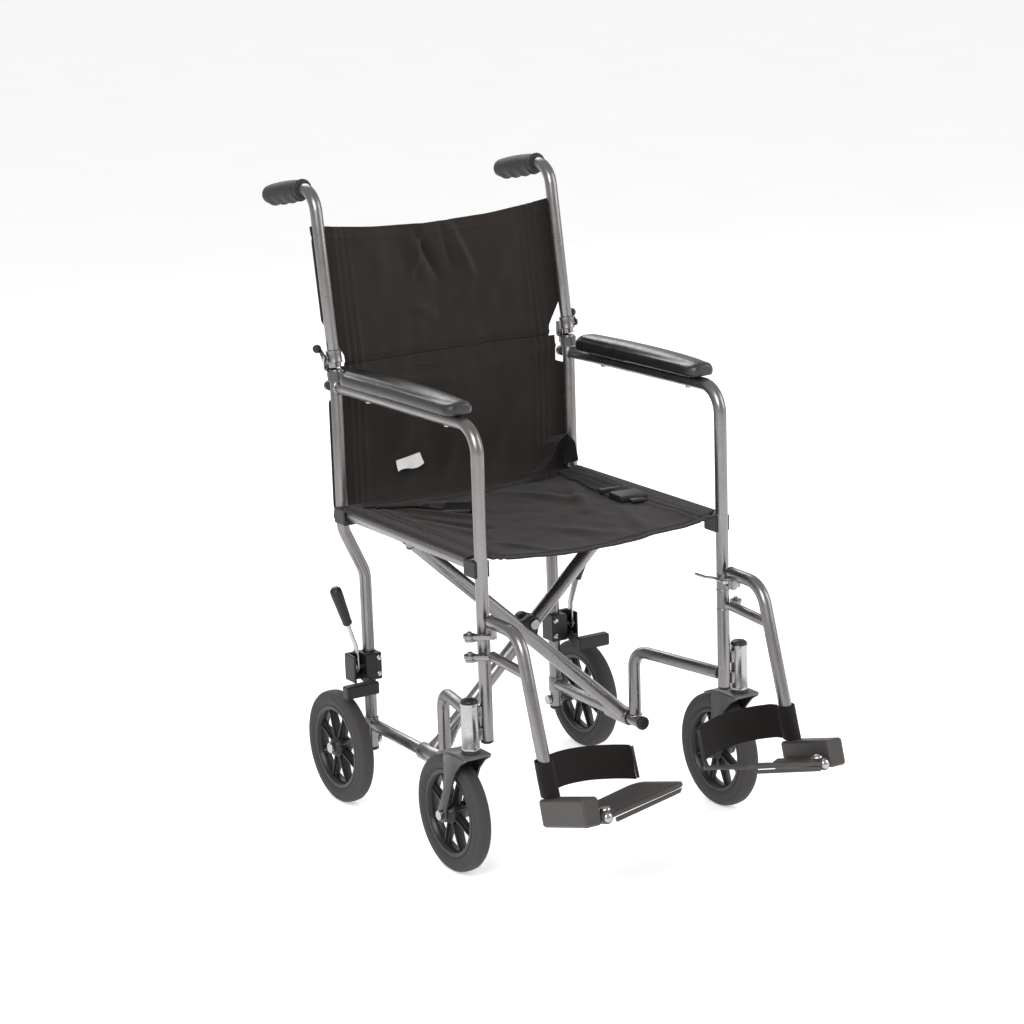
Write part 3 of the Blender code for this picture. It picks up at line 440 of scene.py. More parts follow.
# ---------------------------------------------------------------- finishes
class Coat:
    """One material's node tree, with short ways to add its nodes."""

    def __init__(self, name: str) -> None:
        """Starts a material with an empty principled shader."""
        self.material = bpy.data.materials.new(name)
        self.material.use_nodes = True
        self.nodes = self.material.node_tree.nodes
        self.shader = self.nodes["Principled BSDF"]

    def link(self, source: object, target: object) -> None:
        """Joins two sockets, or sets a constant on the second.

        Args:
            source: A socket or a constant.
            target: The socket that takes it.
        """
        if isinstance(source, bpy.types.NodeSocket):
            self.material.node_tree.links.new(source, target)
        else:
            target.default_value = source

    def add(
        self, kind: str, inputs: dict[str | int, object] | None = None, **settings: object
    ) -> bpy.types.Node:
        """Adds a node with its settings and inputs.

        Args:
            kind: The node's type.
            inputs: What goes into its sockets, by name or number.
            **settings: Its settings by name.

        Returns:
            The node.
        """
        node = self.nodes.new(kind)
        for name, value in settings.items():
            setattr(node, name, value)
        for name, value in (inputs or {}).items():
            self.link(value, node.inputs[name])
        return node

    def place(self, by_cloth: bool = False) -> bpy.types.NodeSocket:
        """The point on the piece, or on the flat cloth's UV map, in metres."""
        return self.add("ShaderNodeTexCoord").outputs["UV" if by_cloth else "Object"]

    def cloudy(self, where: object, scale: float, detail: float = 4.0) -> bpy.types.NodeSocket:
        """Soft noise with features about 1 / scale of a metre."""
        return self.add(
            "ShaderNodeTexNoise", {"Vector": where, "Scale": scale, "Detail": detail}
        ).outputs["Fac"]

    def stretched(self, where: object, stretch: Point) -> bpy.types.NodeSocket:
        """The same place with each axis scaled."""
        return self.add("ShaderNodeMapping", {"Vector": where, "Scale": stretch}).outputs["Vector"]

    def reckon(self, operation: str, first: object, second: object = 0.0) -> bpy.types.NodeSocket:
        """One sum on two values."""
        return self.add("ShaderNodeMath", {0: first, 1: second}, operation=operation).outputs[0]

    def spread(
        self, value: object, low: float, high: float, start: float = 0.3, stop: float = 0.7
    ) -> bpy.types.NodeSocket:
        """Maps a value's usual range to another range.

        Args:
            value: The value to map.
            low: What start becomes.
            high: What stop becomes.
            start: The usual range's low end.
            stop: Its high end.

        Returns:
            The mapped value.
        """
        inputs = {"Value": value, "From Min": start, "From Max": stop, "To Min": low, "To Max": high}
        return self.add("ShaderNodeMapRange", inputs).outputs["Result"]

    def blend(self, share: object, first: object, second: object) -> bpy.types.NodeSocket:
        """Mixes two colours.

        Args:
            share: The second colour's share.
            first: The first colour.
            second: The second colour.

        Returns:
            The mixed colour.
        """
        node = self.add("ShaderNodeMix", data_type="RGBA")
        for value, target in ((share, node.inputs[0]), (first, node.inputs[6]), (second, node.inputs[7])):
            self.link(value, target)
        return node.outputs[2]

    def relief(self, height: object, depth: float, below: object | None = None) -> bpy.types.NodeSocket:
        """Turns a height of 0 to 1 into relief.

        Args:
            height: The height.
            depth: The relief's depth in metres.
            below: The relief that it lies on.

        Returns:
            The shading normal.
        """
        inputs = {"Height": height, "Distance": depth, "Strength": 1.0}
        if below is not None:
            inputs["Normal"] = below
        return self.add("ShaderNodeBump", inputs).outputs["Normal"]

    def finish(self, **inputs: object) -> bpy.types.Material:
        """Sets the shader's sockets.

        Args:
            **inputs: A socket or constant for each shader input, with underscores for spaces.

        Returns:
            The finished material.
        """
        for name, value in inputs.items():
            self.link(value, self.shader.inputs[name.replace("_", " ")])
        return self.material


def shade(colour: Point, factor: float) -> tuple[float, float, float, float]:
    """A colour made lighter or darker."""
    return tuple(min(1.0, c * factor) for c in colour) + (1.0,)


@dataclass(frozen=True)
class MetalFinish:
    """Plated or painted metal with fine grain, dulled patches and paler edges, part scuffing and part
    painted highlight.
    """

    name: str
    colour: Point
    metallic: float
    roughness: float
    grain: float
    relief: float
    wear: float

    def mixed(self) -> bpy.types.Material:
        """Builds the material."""
        coat = Coat(self.name)
        where = coat.place()
        speckle = coat.cloudy(where, self.grain, 3)
        patches = coat.cloudy(where, 34, 5)
        base = coat.blend(coat.spread(speckle, 0, 1), shade(self.colour, 0.8), shade(self.colour, 1.16))
        base = coat.blend(coat.spread(patches, 0.0, 0.22, 0.35, 0.75), base, shade(self.colour, 0.78))
        # Paler colour on convex edges: part scuffed metal, part a painted edge highlight.
        convex_edges = coat.add("ShaderNodeNewGeometry").outputs["Pointiness"]
        scuffed_and_highlit_edges = coat.reckon(
            "MULTIPLY", coat.spread(convex_edges, 0, self.wear, 0.53, 0.6), coat.spread(patches, 0.4, 1)
        )
        base = coat.blend(scuffed_and_highlit_edges, base, shade([max(c, 0.34) for c in self.colour], 1.5))
        rough = coat.spread(patches, self.roughness * 0.82, self.roughness * 1.28)
        scratches = coat.cloudy(coat.stretched(where, (1, 1, 0.06)), 1500, 2)
        normal = coat.relief(scratches, self.relief * 0.4, coat.relief(speckle, self.relief))
        return coat.finish(Base_Color=base, Metallic=self.metallic, Roughness=rough, Normal=normal)


@dataclass(frozen=True)
class MouldedFinish:
    """Moulded plastic or rubber with spark-eroded grain, faint flow marks and paler edges, part scuffing
    and part painted highlight.
    """

    name: str
    colour: Point
    roughness: float
    grain: float
    relief: float
    dust: float = 0.25

    def mixed(self) -> bpy.types.Material:
        """Builds the material."""
        coat = Coat(self.name)
        where = coat.place()
        grain = coat.cloudy(where, self.grain, 2)
        marks = coat.cloudy(where, 22, 5)
        base = coat.blend(coat.spread(marks, 0, 1), shade(self.colour, 0.82), shade(self.colour, 1.22))
        base = coat.blend(coat.spread(grain, 0, 0.3), base, shade(self.colour, 1.5))
        # Paler colour on convex edges: part scuffing, part a painted edge highlight.
        edges = coat.add("ShaderNodeNewGeometry").outputs["Pointiness"]
        base = coat.blend(coat.spread(edges, 0, self.dust, 0.52, 0.6), base, shade(self.colour, 2.6))
        rough = coat.spread(marks, self.roughness * 0.88, self.roughness * 1.14)
        coat.shader.inputs["Specular IOR Level"].default_value = 0.36
        return coat.finish(Base_Color=base, Roughness=rough, Normal=coat.relief(grain, self.relief))


@dataclass(frozen=True)
class LeatherclothFinish:
    """Glossy coated cloth with an embossed pebble grain."""

    name: str
    colour: Point
    roughness: float

    def mixed(self) -> bpy.types.Material:
        """Builds the material."""
        coat = Coat(self.name)
        where = coat.place()
        pebble = coat.add("ShaderNodeTexVoronoi", {"Vector": where, "Scale": 620.0}).outputs["Distance"]
        creases = coat.cloudy(where, 60, 6)
        base = coat.blend(coat.spread(creases, 0, 1), shade(self.colour, 0.8), shade(self.colour, 1.3))
        base = coat.blend(coat.spread(pebble, 0, 0.45, 0.1, 0.7), base, shade(self.colour, 0.55))
        rough = coat.spread(creases, self.roughness * 0.8, self.roughness * 1.25)
        normal = coat.relief(creases, 0.0003, coat.relief(pebble, 0.00012))
        coat.shader.inputs["Coat Weight"].default_value = 0.25
        coat.shader.inputs["Coat Roughness"].default_value = 0.25
        return coat.finish(Base_Color=base, Roughness=rough, Normal=normal)


@dataclass(frozen=True)
class WovenFinish:
    """Woven cloth or webbing, drawn on the flat cloth's own map."""

    name: str
    colour: Point
    warm: Point
    across: float
    along: float
    depth: float
    sheen: float = 0.35

    def mixed(self) -> bpy.types.Material:
        """Builds the material."""
        coat = Coat(self.name)
        where = coat.place(by_cloth=True)
        parts = coat.add("ShaderNodeSeparateXYZ", {"Vector": where}).outputs
        warp = coat.reckon("SINE", coat.reckon("MULTIPLY", parts["X"], 2 * pi / self.across))
        weft = coat.reckon("SINE", coat.reckon("MULTIPLY", parts["Y"], 2 * pi / self.along))
        weave = coat.spread(coat.reckon("MULTIPLY", warp, weft), 0, 1, -1, 1)
        slubs = coat.cloudy(coat.stretched(where, (1, 9, 1)), 260, 4)
        fade = coat.cloudy(where, 7, 5)
        base = coat.blend(coat.spread(fade, 0, 1), self.colour + (1.0,), self.warm + (1.0,))
        base = coat.blend(coat.reckon("MULTIPLY", weave, 0.45), base, shade(self.colour, 0.45))
        base = coat.blend(coat.spread(slubs, 0, 0.3), base, shade(self.warm, 1.7))
        normal = coat.relief(slubs, self.depth * 0.5, coat.relief(weave, self.depth))
        coat.shader.inputs["Sheen Weight"].default_value = self.sheen
        coat.shader.inputs["Sheen Roughness"].default_value = 0.5
        coat.shader.inputs["Specular IOR Level"].default_value = 0.22
        return coat.finish(Base_Color=base, Roughness=coat.spread(slubs, 0.68, 0.9), Normal=normal)


class Finishes:
    """Every finish on the chair, each mixed once."""

    def __init__(self) -> None:
        """Mixes the finishes."""
        self.tube = MetalFinish(
            "silver_grey_tube", (0.235, 0.225, 0.222), 0.92, 0.27, 1100, 0.00004, 0.4
        ).mixed()
        self.bright = MetalFinish("bright_zinc", (0.42, 0.415, 0.42), 1.0, 0.22, 700, 0.00003, 0.3).mixed()
        self.dark = MetalFinish(
            "black_painted_steel", (0.03, 0.029, 0.029), 0.25, 0.34, 900, 0.00006, 0.35
        ).mixed()
        self.plastic = MouldedFinish(
            "black_moulded_plastic", (0.012, 0.0108, 0.0105), 0.42, 1400, 0.00008
        ).mixed()
        self.plate = MouldedFinish(
            "charcoal_nylon_footplate", (0.04, 0.036, 0.034), 0.46, 1200, 0.0001
        ).mixed()
        self.grip = MouldedFinish("grey_grip_rubber", (0.018, 0.017, 0.017), 0.62, 800, 0.00018).mixed()
        self.tyre = MouldedFinish("tyre_rubber", (0.034, 0.031, 0.032), 0.72, 700, 0.0002, 0.4).mixed()
        self.rim = MouldedFinish("moulded_rim", (0.012, 0.0115, 0.011), 0.36, 1300, 0.00008).mixed()
        self.vinyl = LeatherclothFinish("arm_pad_skin", (0.012, 0.0115, 0.011), 0.36).mixed()
        self.nylon = WovenFinish(
            "upholstery_nylon", (0.01, 0.008, 0.0068), (0.016, 0.0105, 0.0088), 0.0011, 0.0011, 0.00022,
            0.1
        ).mixed()
        self.webbing = WovenFinish(
            "strap_webbing", (0.006, 0.0048, 0.0042), (0.01, 0.0064, 0.0056), 0.0016, 0.0024, 0.0004,
            0.06
        ).mixed()
        self.thread = MouldedFinish("sewing_thread", (0.007, 0.006, 0.0055), 0.7, 2500, 0.0001).mixed()
        self.label = WovenFinish(
            "blank_label", (0.8, 0.8, 0.79), (0.72, 0.72, 0.71), 0.0006, 0.0006, 0.0001
        ).mixed()


# ---------------------------------------------------------------- side frames
def hand_over(piece: Piece, body: str, slot: str, *nodes: str) -> Piece:
    """Puts a finished piece on its body, in place of its CAD nodes.

    Args:
        piece: The finished piece.
        body: The CAD body that it moves with.
        slot: The CAD material that it wears.
        *nodes: The CAD nodes that it stands for.

    Returns:
        The piece.
    """
    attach(piece, body)
    if nodes:
        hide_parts(*nodes)
    LOG.info("%s rides %s", piece.name, body)
    return piece


@dataclass
class SideFrame:
    """One side's welded tubes: arm and front post, rear post, lower rail and caster housing."""

    finishes: Finishes
    arm_front_z: float = ARM_FRONT_Z
    arm_rear_z: float = 0.662
    arm_bend: float = 0.04
    post_foot_z: float = 0.2083
    rear_foot_z: float = 0.078
    lower_rail_z: float = 0.1135
    lower_rail_front: float = FRONT_Y + 0.169
    stub_y: float = FRONT_Y + 0.1885
    stub_top_z: float = 0.2275
    hanger_pin_x: float = 0.233
    housing_r: float = 0.013
    housing_z: tuple[float, float] = (0.1996, 0.27)

    def arm_and_post(self) -> Piece:
        """The arm tube and front post, with the footrest's two lugs and pins.

        Returns:
            The welded piece.
        """
        x = -POST_X
        route = [
            (x, CANE_Y - TUBE_R - 0.0006, self.arm_rear_z),
            (x, FRONT_Y, self.arm_front_z),
            (x, FRONT_Y, self.post_foot_z),
        ]
        parts = [soften(bent_tube(route, [self.arm_bend], TUBE_R))]
        for z in (0.33, 0.36):
            pin = (-self.hanger_pin_x, FRONT_Y)
            outline = [
                (-POST_X - 0.004, 0.007), (pin[0], 0.0074), (pin[0] - 0.0056, 0.005), (pin[0] - 0.008, 0)
            ]
            outline += [(a, -b) for a, b in reversed(outline[:-1])]
            lug = plate(outline, lambda a, b, z=z: (a, FRONT_Y + b, z), (0, 0, 0.0045))
            parts += [soften(lug, 0.0008), soften(rod((*pin, z + 0.001), (*pin, z + 0.0145), 0.0038))]
            parts.append(
                soften(
                    turned(
                        [(0, 0), (0, 0.0104), (0.0022, 0.0099), (0.004, 0)], (x, FRONT_Y, z - 0.0005),
                        (0, 0, 1), 28
                    )
                )
            )
        for part in parts:
            paint(part, self.finishes.tube)
        collar = turned(
            [
                (0, TUBE_R - 0.001), (0, TUBE_R + 0.0022), (0.0012, TUBE_R + 0.0012),
                (0.0024, TUBE_R - 0.001)
            ],
            (x, CANE_Y - TUBE_R - 0.0018, self.arm_rear_z), (0, -1, 0), 28,
        )
        plug = turned(
            [(-0.0045, 0), (-0.0045, 0.007), (-0.0025, 0.0095), (0.0004, 0.0095), (0.0012, 0)],
            (x, FRONT_Y, self.post_foot_z), (0, 0, 1), 28,
        )
        parts += [
            paint(soften(collar, 0.0003), self.finishes.tube),
            paint(soften(plug, 0.0003), self.finishes.plastic)
        ]
        return weld("arm_tube_and_front_post_r", parts)

    def rear_post(self) -> Piece:
        """The lower back cane, cranked inboard, with its plug and the black knob behind it.

        Returns:
            The piece.
        """
        route = [
            (-POST_X, CANE_Y, HINGE_Z - 0.0012),
            (-POST_X, CANE_Y, 0.44),
            (-LOWER_X, LOWER_POST_Y, 0.362),
            (-LOWER_X, LOWER_POST_Y, self.rear_foot_z),
        ]
        tube = paint(soften(bent_tube(route, [0.045, 0.045], TUBE_R)), self.finishes.tube)
        plug = turned(
            [(-0.005, 0), (-0.005, 0.0072), (-0.003, 0.0099), (0.001, 0.0099), (0.0014, 0)],
            (-LOWER_X, LOWER_POST_Y, self.rear_foot_z), (0, 0, 1), 28,
        )
        weldment = turned(
            [(-0.0118, 0.009), (-0.0118, 0.0112), (0.0118, 0.0112), (0.0118, 0.009)],
            (-LOWER_X, LOWER_POST_Y, self.lower_rail_z + 0.002), (0, 0, 1), 28,
        )
        knob = turned(
            [
                (0.008, 0), (0.008, 0.005), (0.015, 0.005), (0.016, 0.0078), (0.025, 0.0078),
                (0.0278, 0.0056), (0.0284, 0)
            ],
            (-POST_X, CANE_Y, 0.66), (0, 1, 0), 24,
        )
        parts = [
            tube, paint(soften(plug, 0.0004), self.finishes.plastic),
            paint(soften(weldment, 0.001), self.finishes.tube)
        ]
        parts.append(paint(soften(knob, 0.0005), self.finishes.plastic))
        return weld("rear_post_r", parts)

    def lower_rail(self) -> Piece:
        """The lower rail with its black plug and the bent tube that carries the front post.

        Returns:
            The welded piece.
        """
        x = -LOWER_X
        rail = bent_tube(
            [
                (x, LOWER_POST_Y - TUBE_R - 0.0003, self.lower_rail_z + 0.002),
                (x, self.lower_rail_front, self.lower_rail_z)
            ],
            [], TUBE_R,
        )
        reach = Vector((POST_X - LOWER_X - 0.0015, self.stub_y - FRONT_Y)).normalized() * (TUBE_R + 0.0006)
        stub = bent_tube(
            [
                (x - 0.0015, self.stub_y, self.lower_rail_z),
                (x - 0.0015, self.stub_y, self.stub_top_z),
                (-(POST_X - reach.x), FRONT_Y + reach.y, self.stub_top_z),
            ],
            [0.028], TUBE_R,
        )
        bead = turned(
            [(0, 0.009), (0, 0.0116), (0.0016, 0.0104), (0.003, 0.009)],
            (x - 0.0015, self.stub_y, self.lower_rail_z + 0.008), (0, 0, 1), 28,
        )
        parts = [paint(soften(part), self.finishes.tube) for part in (rail, stub)]
        parts.append(paint(soften(bead, 0.0004), self.finishes.tube))
        plug = turned(
            [
                (-0.001, 0), (-0.001, 0.0092), (0.0006, 0.0108), (0.005, 0.0108), (0.0072, 0.009),
                (0.0084, 0)
            ],
            (x, self.lower_rail_front, self.lower_rail_z), (0, -1, 0), 32,
        )
        parts.append(paint(soften(plug, 0.0004), self.finishes.plastic))
        return weld("lower_rail_and_stub_r", parts)

    def caster_housing(self) -> Piece:
        """The swivel bearing tube with its pressed cups, cap and weld tabs.

        Returns:
            The welded piece.
        """
        centre = (-CASTER_X, FRONT_Y, 0)
        low, high = self.housing_z
        r = self.housing_r
        tube = turned(
            [
                (low, 0.0084), (low, r + 0.0004), (low + 0.0042, r + 0.0004), (low + 0.0048, r),
                (high - 0.005, r),
                (high - 0.0044, r + 0.0004), (high, r + 0.0004), (high, 0.0084),
            ],
            centre, (0, 0, 1), 40,
        )
        cap = turned(
            [
                (high - 0.003, 0), (high - 0.003, 0.008), (high + 0.0004, 0.008), (high + 0.0004, 0.0128),
                (high + 0.003, 0.0122), (high + 0.0052, 0.0096), (high + 0.0062, 0)
            ],
            centre, (0, 0, 1), 40,
        )
        parts = [
            paint(soften(tube, 0.0003), self.finishes.bright),
            paint(soften(cap, 0.0004), self.finishes.plastic)
        ]
        inner, outer = -(POST_X + TUBE_R + 0.0003), -(CASTER_X - r + 0.003)
        for z in (self.post_foot_z + 0.003, high - 0.026):
            tab = block((outer, FRONT_Y - 0.006, z), (inner, FRONT_Y + 0.006, z + 0.018), 0.0012)
            parts.append(paint(soften(tab, 0.0003), self.finishes.tube))
        return weld("caster_housing_assembly_r", parts)

    def build(self) -> None:
        """Builds the right side, mirrors it and sets both on their frames."""
        rows = (
            (self.arm_and_post(), "arm_tube_and_front_post", "steel_tube", "front_frame"),
            (self.rear_post(), "rear_post_tube", "steel_tube", "rear_post"),
            (self.lower_rail(), "lower_rail_and_stub", "steel_tube", "lower_frame"),
            (self.caster_housing(), "caster_housing_assembly", "bright_steel", "caster_housing"),
        )
        for right, name, slot, node in rows:
            hand_over(mirrored(right, f"{name}_l"), "left_frame", slot, f"{node}_l")
            right.name = f"{name}_r"
            hand_over(right, "right_frame", slot, f"{node}_r")


@dataclass
class FoldingBack:
    """Both upper canes with their hinge lugs and push grips."""

    finishes: Finishes
    handle_length: float = 0.146
    handle_drop: float = 0.026
    grip_length: float = 0.118
    bend: float = 0.036

    def corners(self) -> tuple[Vector, Vector, Vector]:
        """The right cane's foot, top corner and tip."""
        foot = Vector((-POST_X, CANE_Y, HINGE_Z + 0.0012))
        rise = CANE_TOP_Z - foot.z
        top = foot + Vector((0, CANE_LEAN * rise, rise))
        return foot, top, top + Vector((0, self.handle_length, -self.handle_drop))

    def cane(self) -> Piece:
        """The bent cane, its collar and rolled lips, the hinge lugs and the lever's boss.

        Returns:
            The piece.
        """
        foot, top, tip = self.corners()
        lean = Vector((0, CANE_LEAN, 1)).normalized()
        parts = [paint(soften(bent_tube([foot, top, tip], [self.bend], TUBE_R)), self.finishes.tube)]
        collar = turned(
            [
                (0.0072, 0.009), (0.0072, 0.0116), (0.0084, 0.0124), (0.0112, 0.0118), (0.0228, 0.0118),
                (0.0252, 0.0124), (0.0264, 0.0112), (0.0264, 0.009)
            ],
            foot, lean, 32,
        )
        parts.append(paint(soften(collar, 0.0003), self.finishes.tube))
        outline = [(HINGE_Y - 0.0095, HINGE_Z + 0.02), (HINGE_Y - 0.0095, HINGE_Z + 0.009)]
        outline += [
            (
                HINGE_Y + 0.0058 * cos(radians(a)), HINGE_Z + 0.0058 * sin(radians(a))
            ) for a in range(210, 381, 17)
        ]
        outline.append((HINGE_Y + 0.0058, HINGE_Z + 0.018))
        for off in (-0.0084, 0.0046):
            lug = plate(outline, lambda a, b, off=off: (-POST_X + off, a, b), (0.0038, 0, 0))
            parts.append(paint(soften(lug, 0.0005), self.finishes.dark))
        y, z = CANE_Y + 0.003, HINGE_Z + 0.0165
        profile = [
            (0.008, 0), (0.008, 0.0024), (0.0166, 0.0024), (0.0176, 0.005), (0.0192, 0.0046),
            (0.0206, 0.0026), (0.0208, 0)
        ]
        parts.append(
            paint(soften(turned(profile, (-POST_X, y, z), (-1, 0, 0), 24), 0.0002), self.finishes.bright)
        )
        return weld("upper_cane_and_handle_r", parts)

    def grip(self) -> Piece:
        """The moulded grip, with finger waves below, fine ribs along its top and a flange at its mouth.

        Returns:
            The grip.
        """
        _, top, tip = self.corners()
        along = (tip - top).normalized()
        start = tip - along * (self.grip_length - 0.004)
        length = self.grip_length + 0.002
        steps = 44
        clear_hands()
        bpy.ops.mesh.primitive_circle_add(
            vertices=36, radius=0.0118, location=start, rotation=facing(along)
        )
        grip = just_added()
        edit_all()
        for _ in range(steps):
            pull(along * (length / steps))
        close_up()
        over = Vector((0, -along.z, along.y))
        for vertex in grip.data.vertices:
            run = (vertex.co - start).dot(along)
            out = vertex.co - start - along * run
            share = run / length
            if out.length < 1e-6:
                continue
            below = max(0.0, -out.normalized().dot(over))
            above = max(0.0, out.normalized().dot(over))
            radius = 0.0138 + 0.002 * sin(pi * min(1.0, share * 1.05)) ** 0.6
            radius += below**1.5 * (0.0038 * (0.5 - 0.5 * cos(2 * pi * (share * 4.2 + 0.15))) - 0.0004)
            radius += above * 0.001 * sin(pi * share)
            if share < 0.07:
                radius = 0.0158 - 0.002 * (share / 0.07) ** 2
            fall = max(0.0, (share - 0.9) / 0.1)
            radius *= sqrt(max(0.0, 1 - (fall * 0.86) ** 2.4))
            ribs = 0.00022 * sin(2 * pi * run / 0.0036) * (above > 0.2) * (0.12 < share < 0.88)
            vertex.co = start + along * run + out.normalized() * (radius + ribs)
        return weld("push_grip_moulding_r", [paint(soften(grip, 0.0006, 55), self.finishes.grip)])

    def build(self) -> None:
        """Builds the right cane and grip, mirrors them and sets both sides on the back."""
        for right, name, slot, node in (
            (self.cane(), "upper_cane_and_handle", "steel_tube", "upper_cane"),
            (self.grip(), "push_grip_moulding", "grip_rubber", "push_grip"),
        ):
            hand_over(mirrored(right, f"{name}_l"), "cane_l", slot, f"{node}_l")
            hand_over(right, "cane_r", slot, f"{node}_r")


# ---------------------------------------------------------------- wheels and casters
@dataclass
class Wheels:
    """Four moulded wheels with solid tyres, modelled once about the origin."""

    finishes: Finishes
    rim_r: float = 0.066
    spokes: int = 8

    def tyre(self) -> Piece:
        """The grey solid tyre, with shoulder grooves and a flat crown.

        Returns:
            The tyre about the origin.
        """
        r = self.rim_r
        half = [
            (0.01, r + 0.0003), (0.0108, r + 0.003), (0.0124, r + 0.0052), (0.013, r + 0.01),
            (0.0128, r + 0.0135), (0.0121, r + 0.015), (0.0124, r + 0.016), (0.0108, r + 0.02),
            (0.0078, r + 0.0221), (0.004, WHEEL_R - 0.0002), (0.0014, WHEEL_R), (0.0, WHEEL_R),
        ]
        profile = half + [(-a, b) for a, b in reversed(half[:-1])]
        return paint(soften(turned(profile, (0, 0, 0), (1, 0, 0), 96), 0.0003, 60), self.finishes.tyre)

    def rim(self, hub_half: float, bore: float) -> Piece:
        """The moulded rim: channelled ring, ribbed spokes and a capped hub.

        Args:
            hub_half: Half of the hub's width.
            bore: The bore's radius, for the axle.

        Returns:
            The rim about the origin.
        """
        r = self.rim_r
        half = [
            (0.0102, r), (0.0106, r - 0.0014), (0.0106, 0.0612), (0.0098, 0.0592), (0.0072, 0.0586),
            (0.006, 0.0572), (0.0, 0.0568)
        ]
        ring = turned(half + [(-a, b) for a, b in reversed(half[:-1])], (0, 0, 0), (1, 0, 0), 96)
        parts = [soften(ring, 0.0003, 60)]
        outline = [(0.013, 0.0072), (0.028, 0.0046), (0.046, 0.0042), (0.0585, 0.0076), (0.06, 0.0076)]
        outline += [(a, -b) for a, b in reversed(outline)]
        web = soften(plate(outline, lambda a, b: (-0.0034, a, b), (0.0068, 0, 0)), 0.0008)
        rib_line = [(0.012, -0.0088), (0.058, -0.0066), (0.058, 0.0066), (0.012, 0.0088)]
        rib = soften(plate(rib_line, lambda a, b: (b, a, -0.0013), (0, 0, 0.0026)), 0.0006)
        spoke = weld("spoke", [web, rib])
        for index in range(self.spokes):
            angle = pi * index / 4 + pi / 8
            parts.append(copy_of(spoke, Matrix.Rotation(angle, 4, "X"), "spoke"))
        bpy.data.objects.remove(spoke)
        hub = turned(
            [
                (-hub_half, bore), (-hub_half, 0.0112), (-hub_half + 0.0016, 0.0128), (-0.01, 0.0142),
                (-0.0086, 0.0166),
                (0.0086, 0.0166), (0.01, 0.0142), (hub_half - 0.0016, 0.0128), (hub_half, 0.0112),
                (hub_half, bore),
            ],
            (0, 0, 0), (1, 0, 0), 48,
        )
        parts.append(soften(hub, 0.0004, 50))
        for part in parts:
            paint(part, self.finishes.rim)
        return weld("rim", parts)

    def build(self, front_hub: float, rear_hub: float) -> None:
        """Copies tyre and rim to the four axles.

        Args:
            front_hub: Half of the front hubs' width.
            rear_hub: Half of the rear hubs' width.
        """
        tyre = self.tyre()
        for end, x, y, hub, bore in (
            ("front", CASTER_X, FRONT_AXLE_Y, front_hub, 0.0044),
            ("rear", REAR_WHEEL_X, REAR_AXLE_Y, rear_hub, 0.0052),
        ):
            rim = self.rim(hub, bore)
            for side in Side:
                place = Matrix.Translation((side.value * x, y, WHEEL_R))
                body = f"{end}_wheel_{side.tag}"
                for model, name, slot, node in (
                    (tyre, "solid_tyre", "tyre_rubber", "tyre"),
                    (rim, "moulded_wheel", "black_plastic", "rim"),
                ):
                    made = copy_of(model, place, f"{end}_{name}_{side.tag}")
                    hand_over(made, body, slot, f"{end}_{node}_{side.tag}")
            bpy.data.objects.remove(rim)
        bpy.data.objects.remove(tyre)


@dataclass
class CasterForks:
    """The two swivel forks, pressed from plate and painted black."""

    finishes: Finishes
    half_width: float = 0.0222
    leg: float = 0.004

    def build(self) -> None:
        """Builds the right fork, mirrors it and sets both on the casters."""
        x, f = -CASTER_X, FRONT_Y
        h = self.half_width
        crown_line = [
            (f - 0.02, 0.1898), (f - 0.02, 0.1946), (f + 0.018, 0.1946), (f + 0.046, 0.1902),
            (f + 0.062, 0.1836), (f + 0.062, 0.18), (f + 0.042, 0.1862), (f + 0.018, 0.1898),
        ]
        crown = plate(crown_line, lambda a, b: (x - h, a, b), (2 * h, 0, 0))
        parts = [soften(crown, 0.001)]
        leg_line = [
            (f - 0.019, 0.193), (f + 0.018, 0.193), (f + 0.04, 0.189), (f + 0.044, 0.18),
            (f + 0.043, 0.168),
            (f + 0.044, 0.15), (f + 0.0475, 0.13), (f + 0.0555, 0.112), (f + 0.065, 0.096),
        ]
        leg_line += [
            (
                FRONT_AXLE_Y + 0.0118 * cos(radians(a)), WHEEL_R + 0.0118 * sin(radians(a))
            ) for a in range(0, -181, -20)
        ]
        leg_line += [
            (f + 0.0405, 0.1), (f + 0.031, 0.121), (f + 0.0215, 0.143), (f + 0.011, 0.164),
            (f - 0.006, 0.181), (f - 0.0185, 0.188)
        ]
        for off in (-h, h - self.leg):
            parts.append(
                soften(plate(leg_line, lambda a, b, off=off: (x + off, a, b), (self.leg, 0, 0)), 0.001)
            )
        stem = turned(
            [(0.19, 0), (0.19, 0.008), (0.264, 0.008), (0.264, 0)], (x, f, 0), (0, 0, 1), 28
        )
        race = turned(
            [
                (0.1944, 0.007), (0.1944, 0.0132), (0.1956, 0.014), (0.1978, 0.0136), (0.1992, 0.0118),
                (0.1992, 0.007)
            ],
            (x, f, 0), (0, 0, 1), 36,
        )
        parts += [soften(stem, 0.0004), soften(race, 0.0002)]
        for part in parts:
            paint(part, self.finishes.dark)
        right = weld("caster_fork_pressing_r", parts)
        hand_over(mirrored(right, "caster_fork_pressing_l"), "caster_l", "dark_steel", "caster_fork_l")
        hand_over(right, "caster_r", "dark_steel", "caster_fork_r")


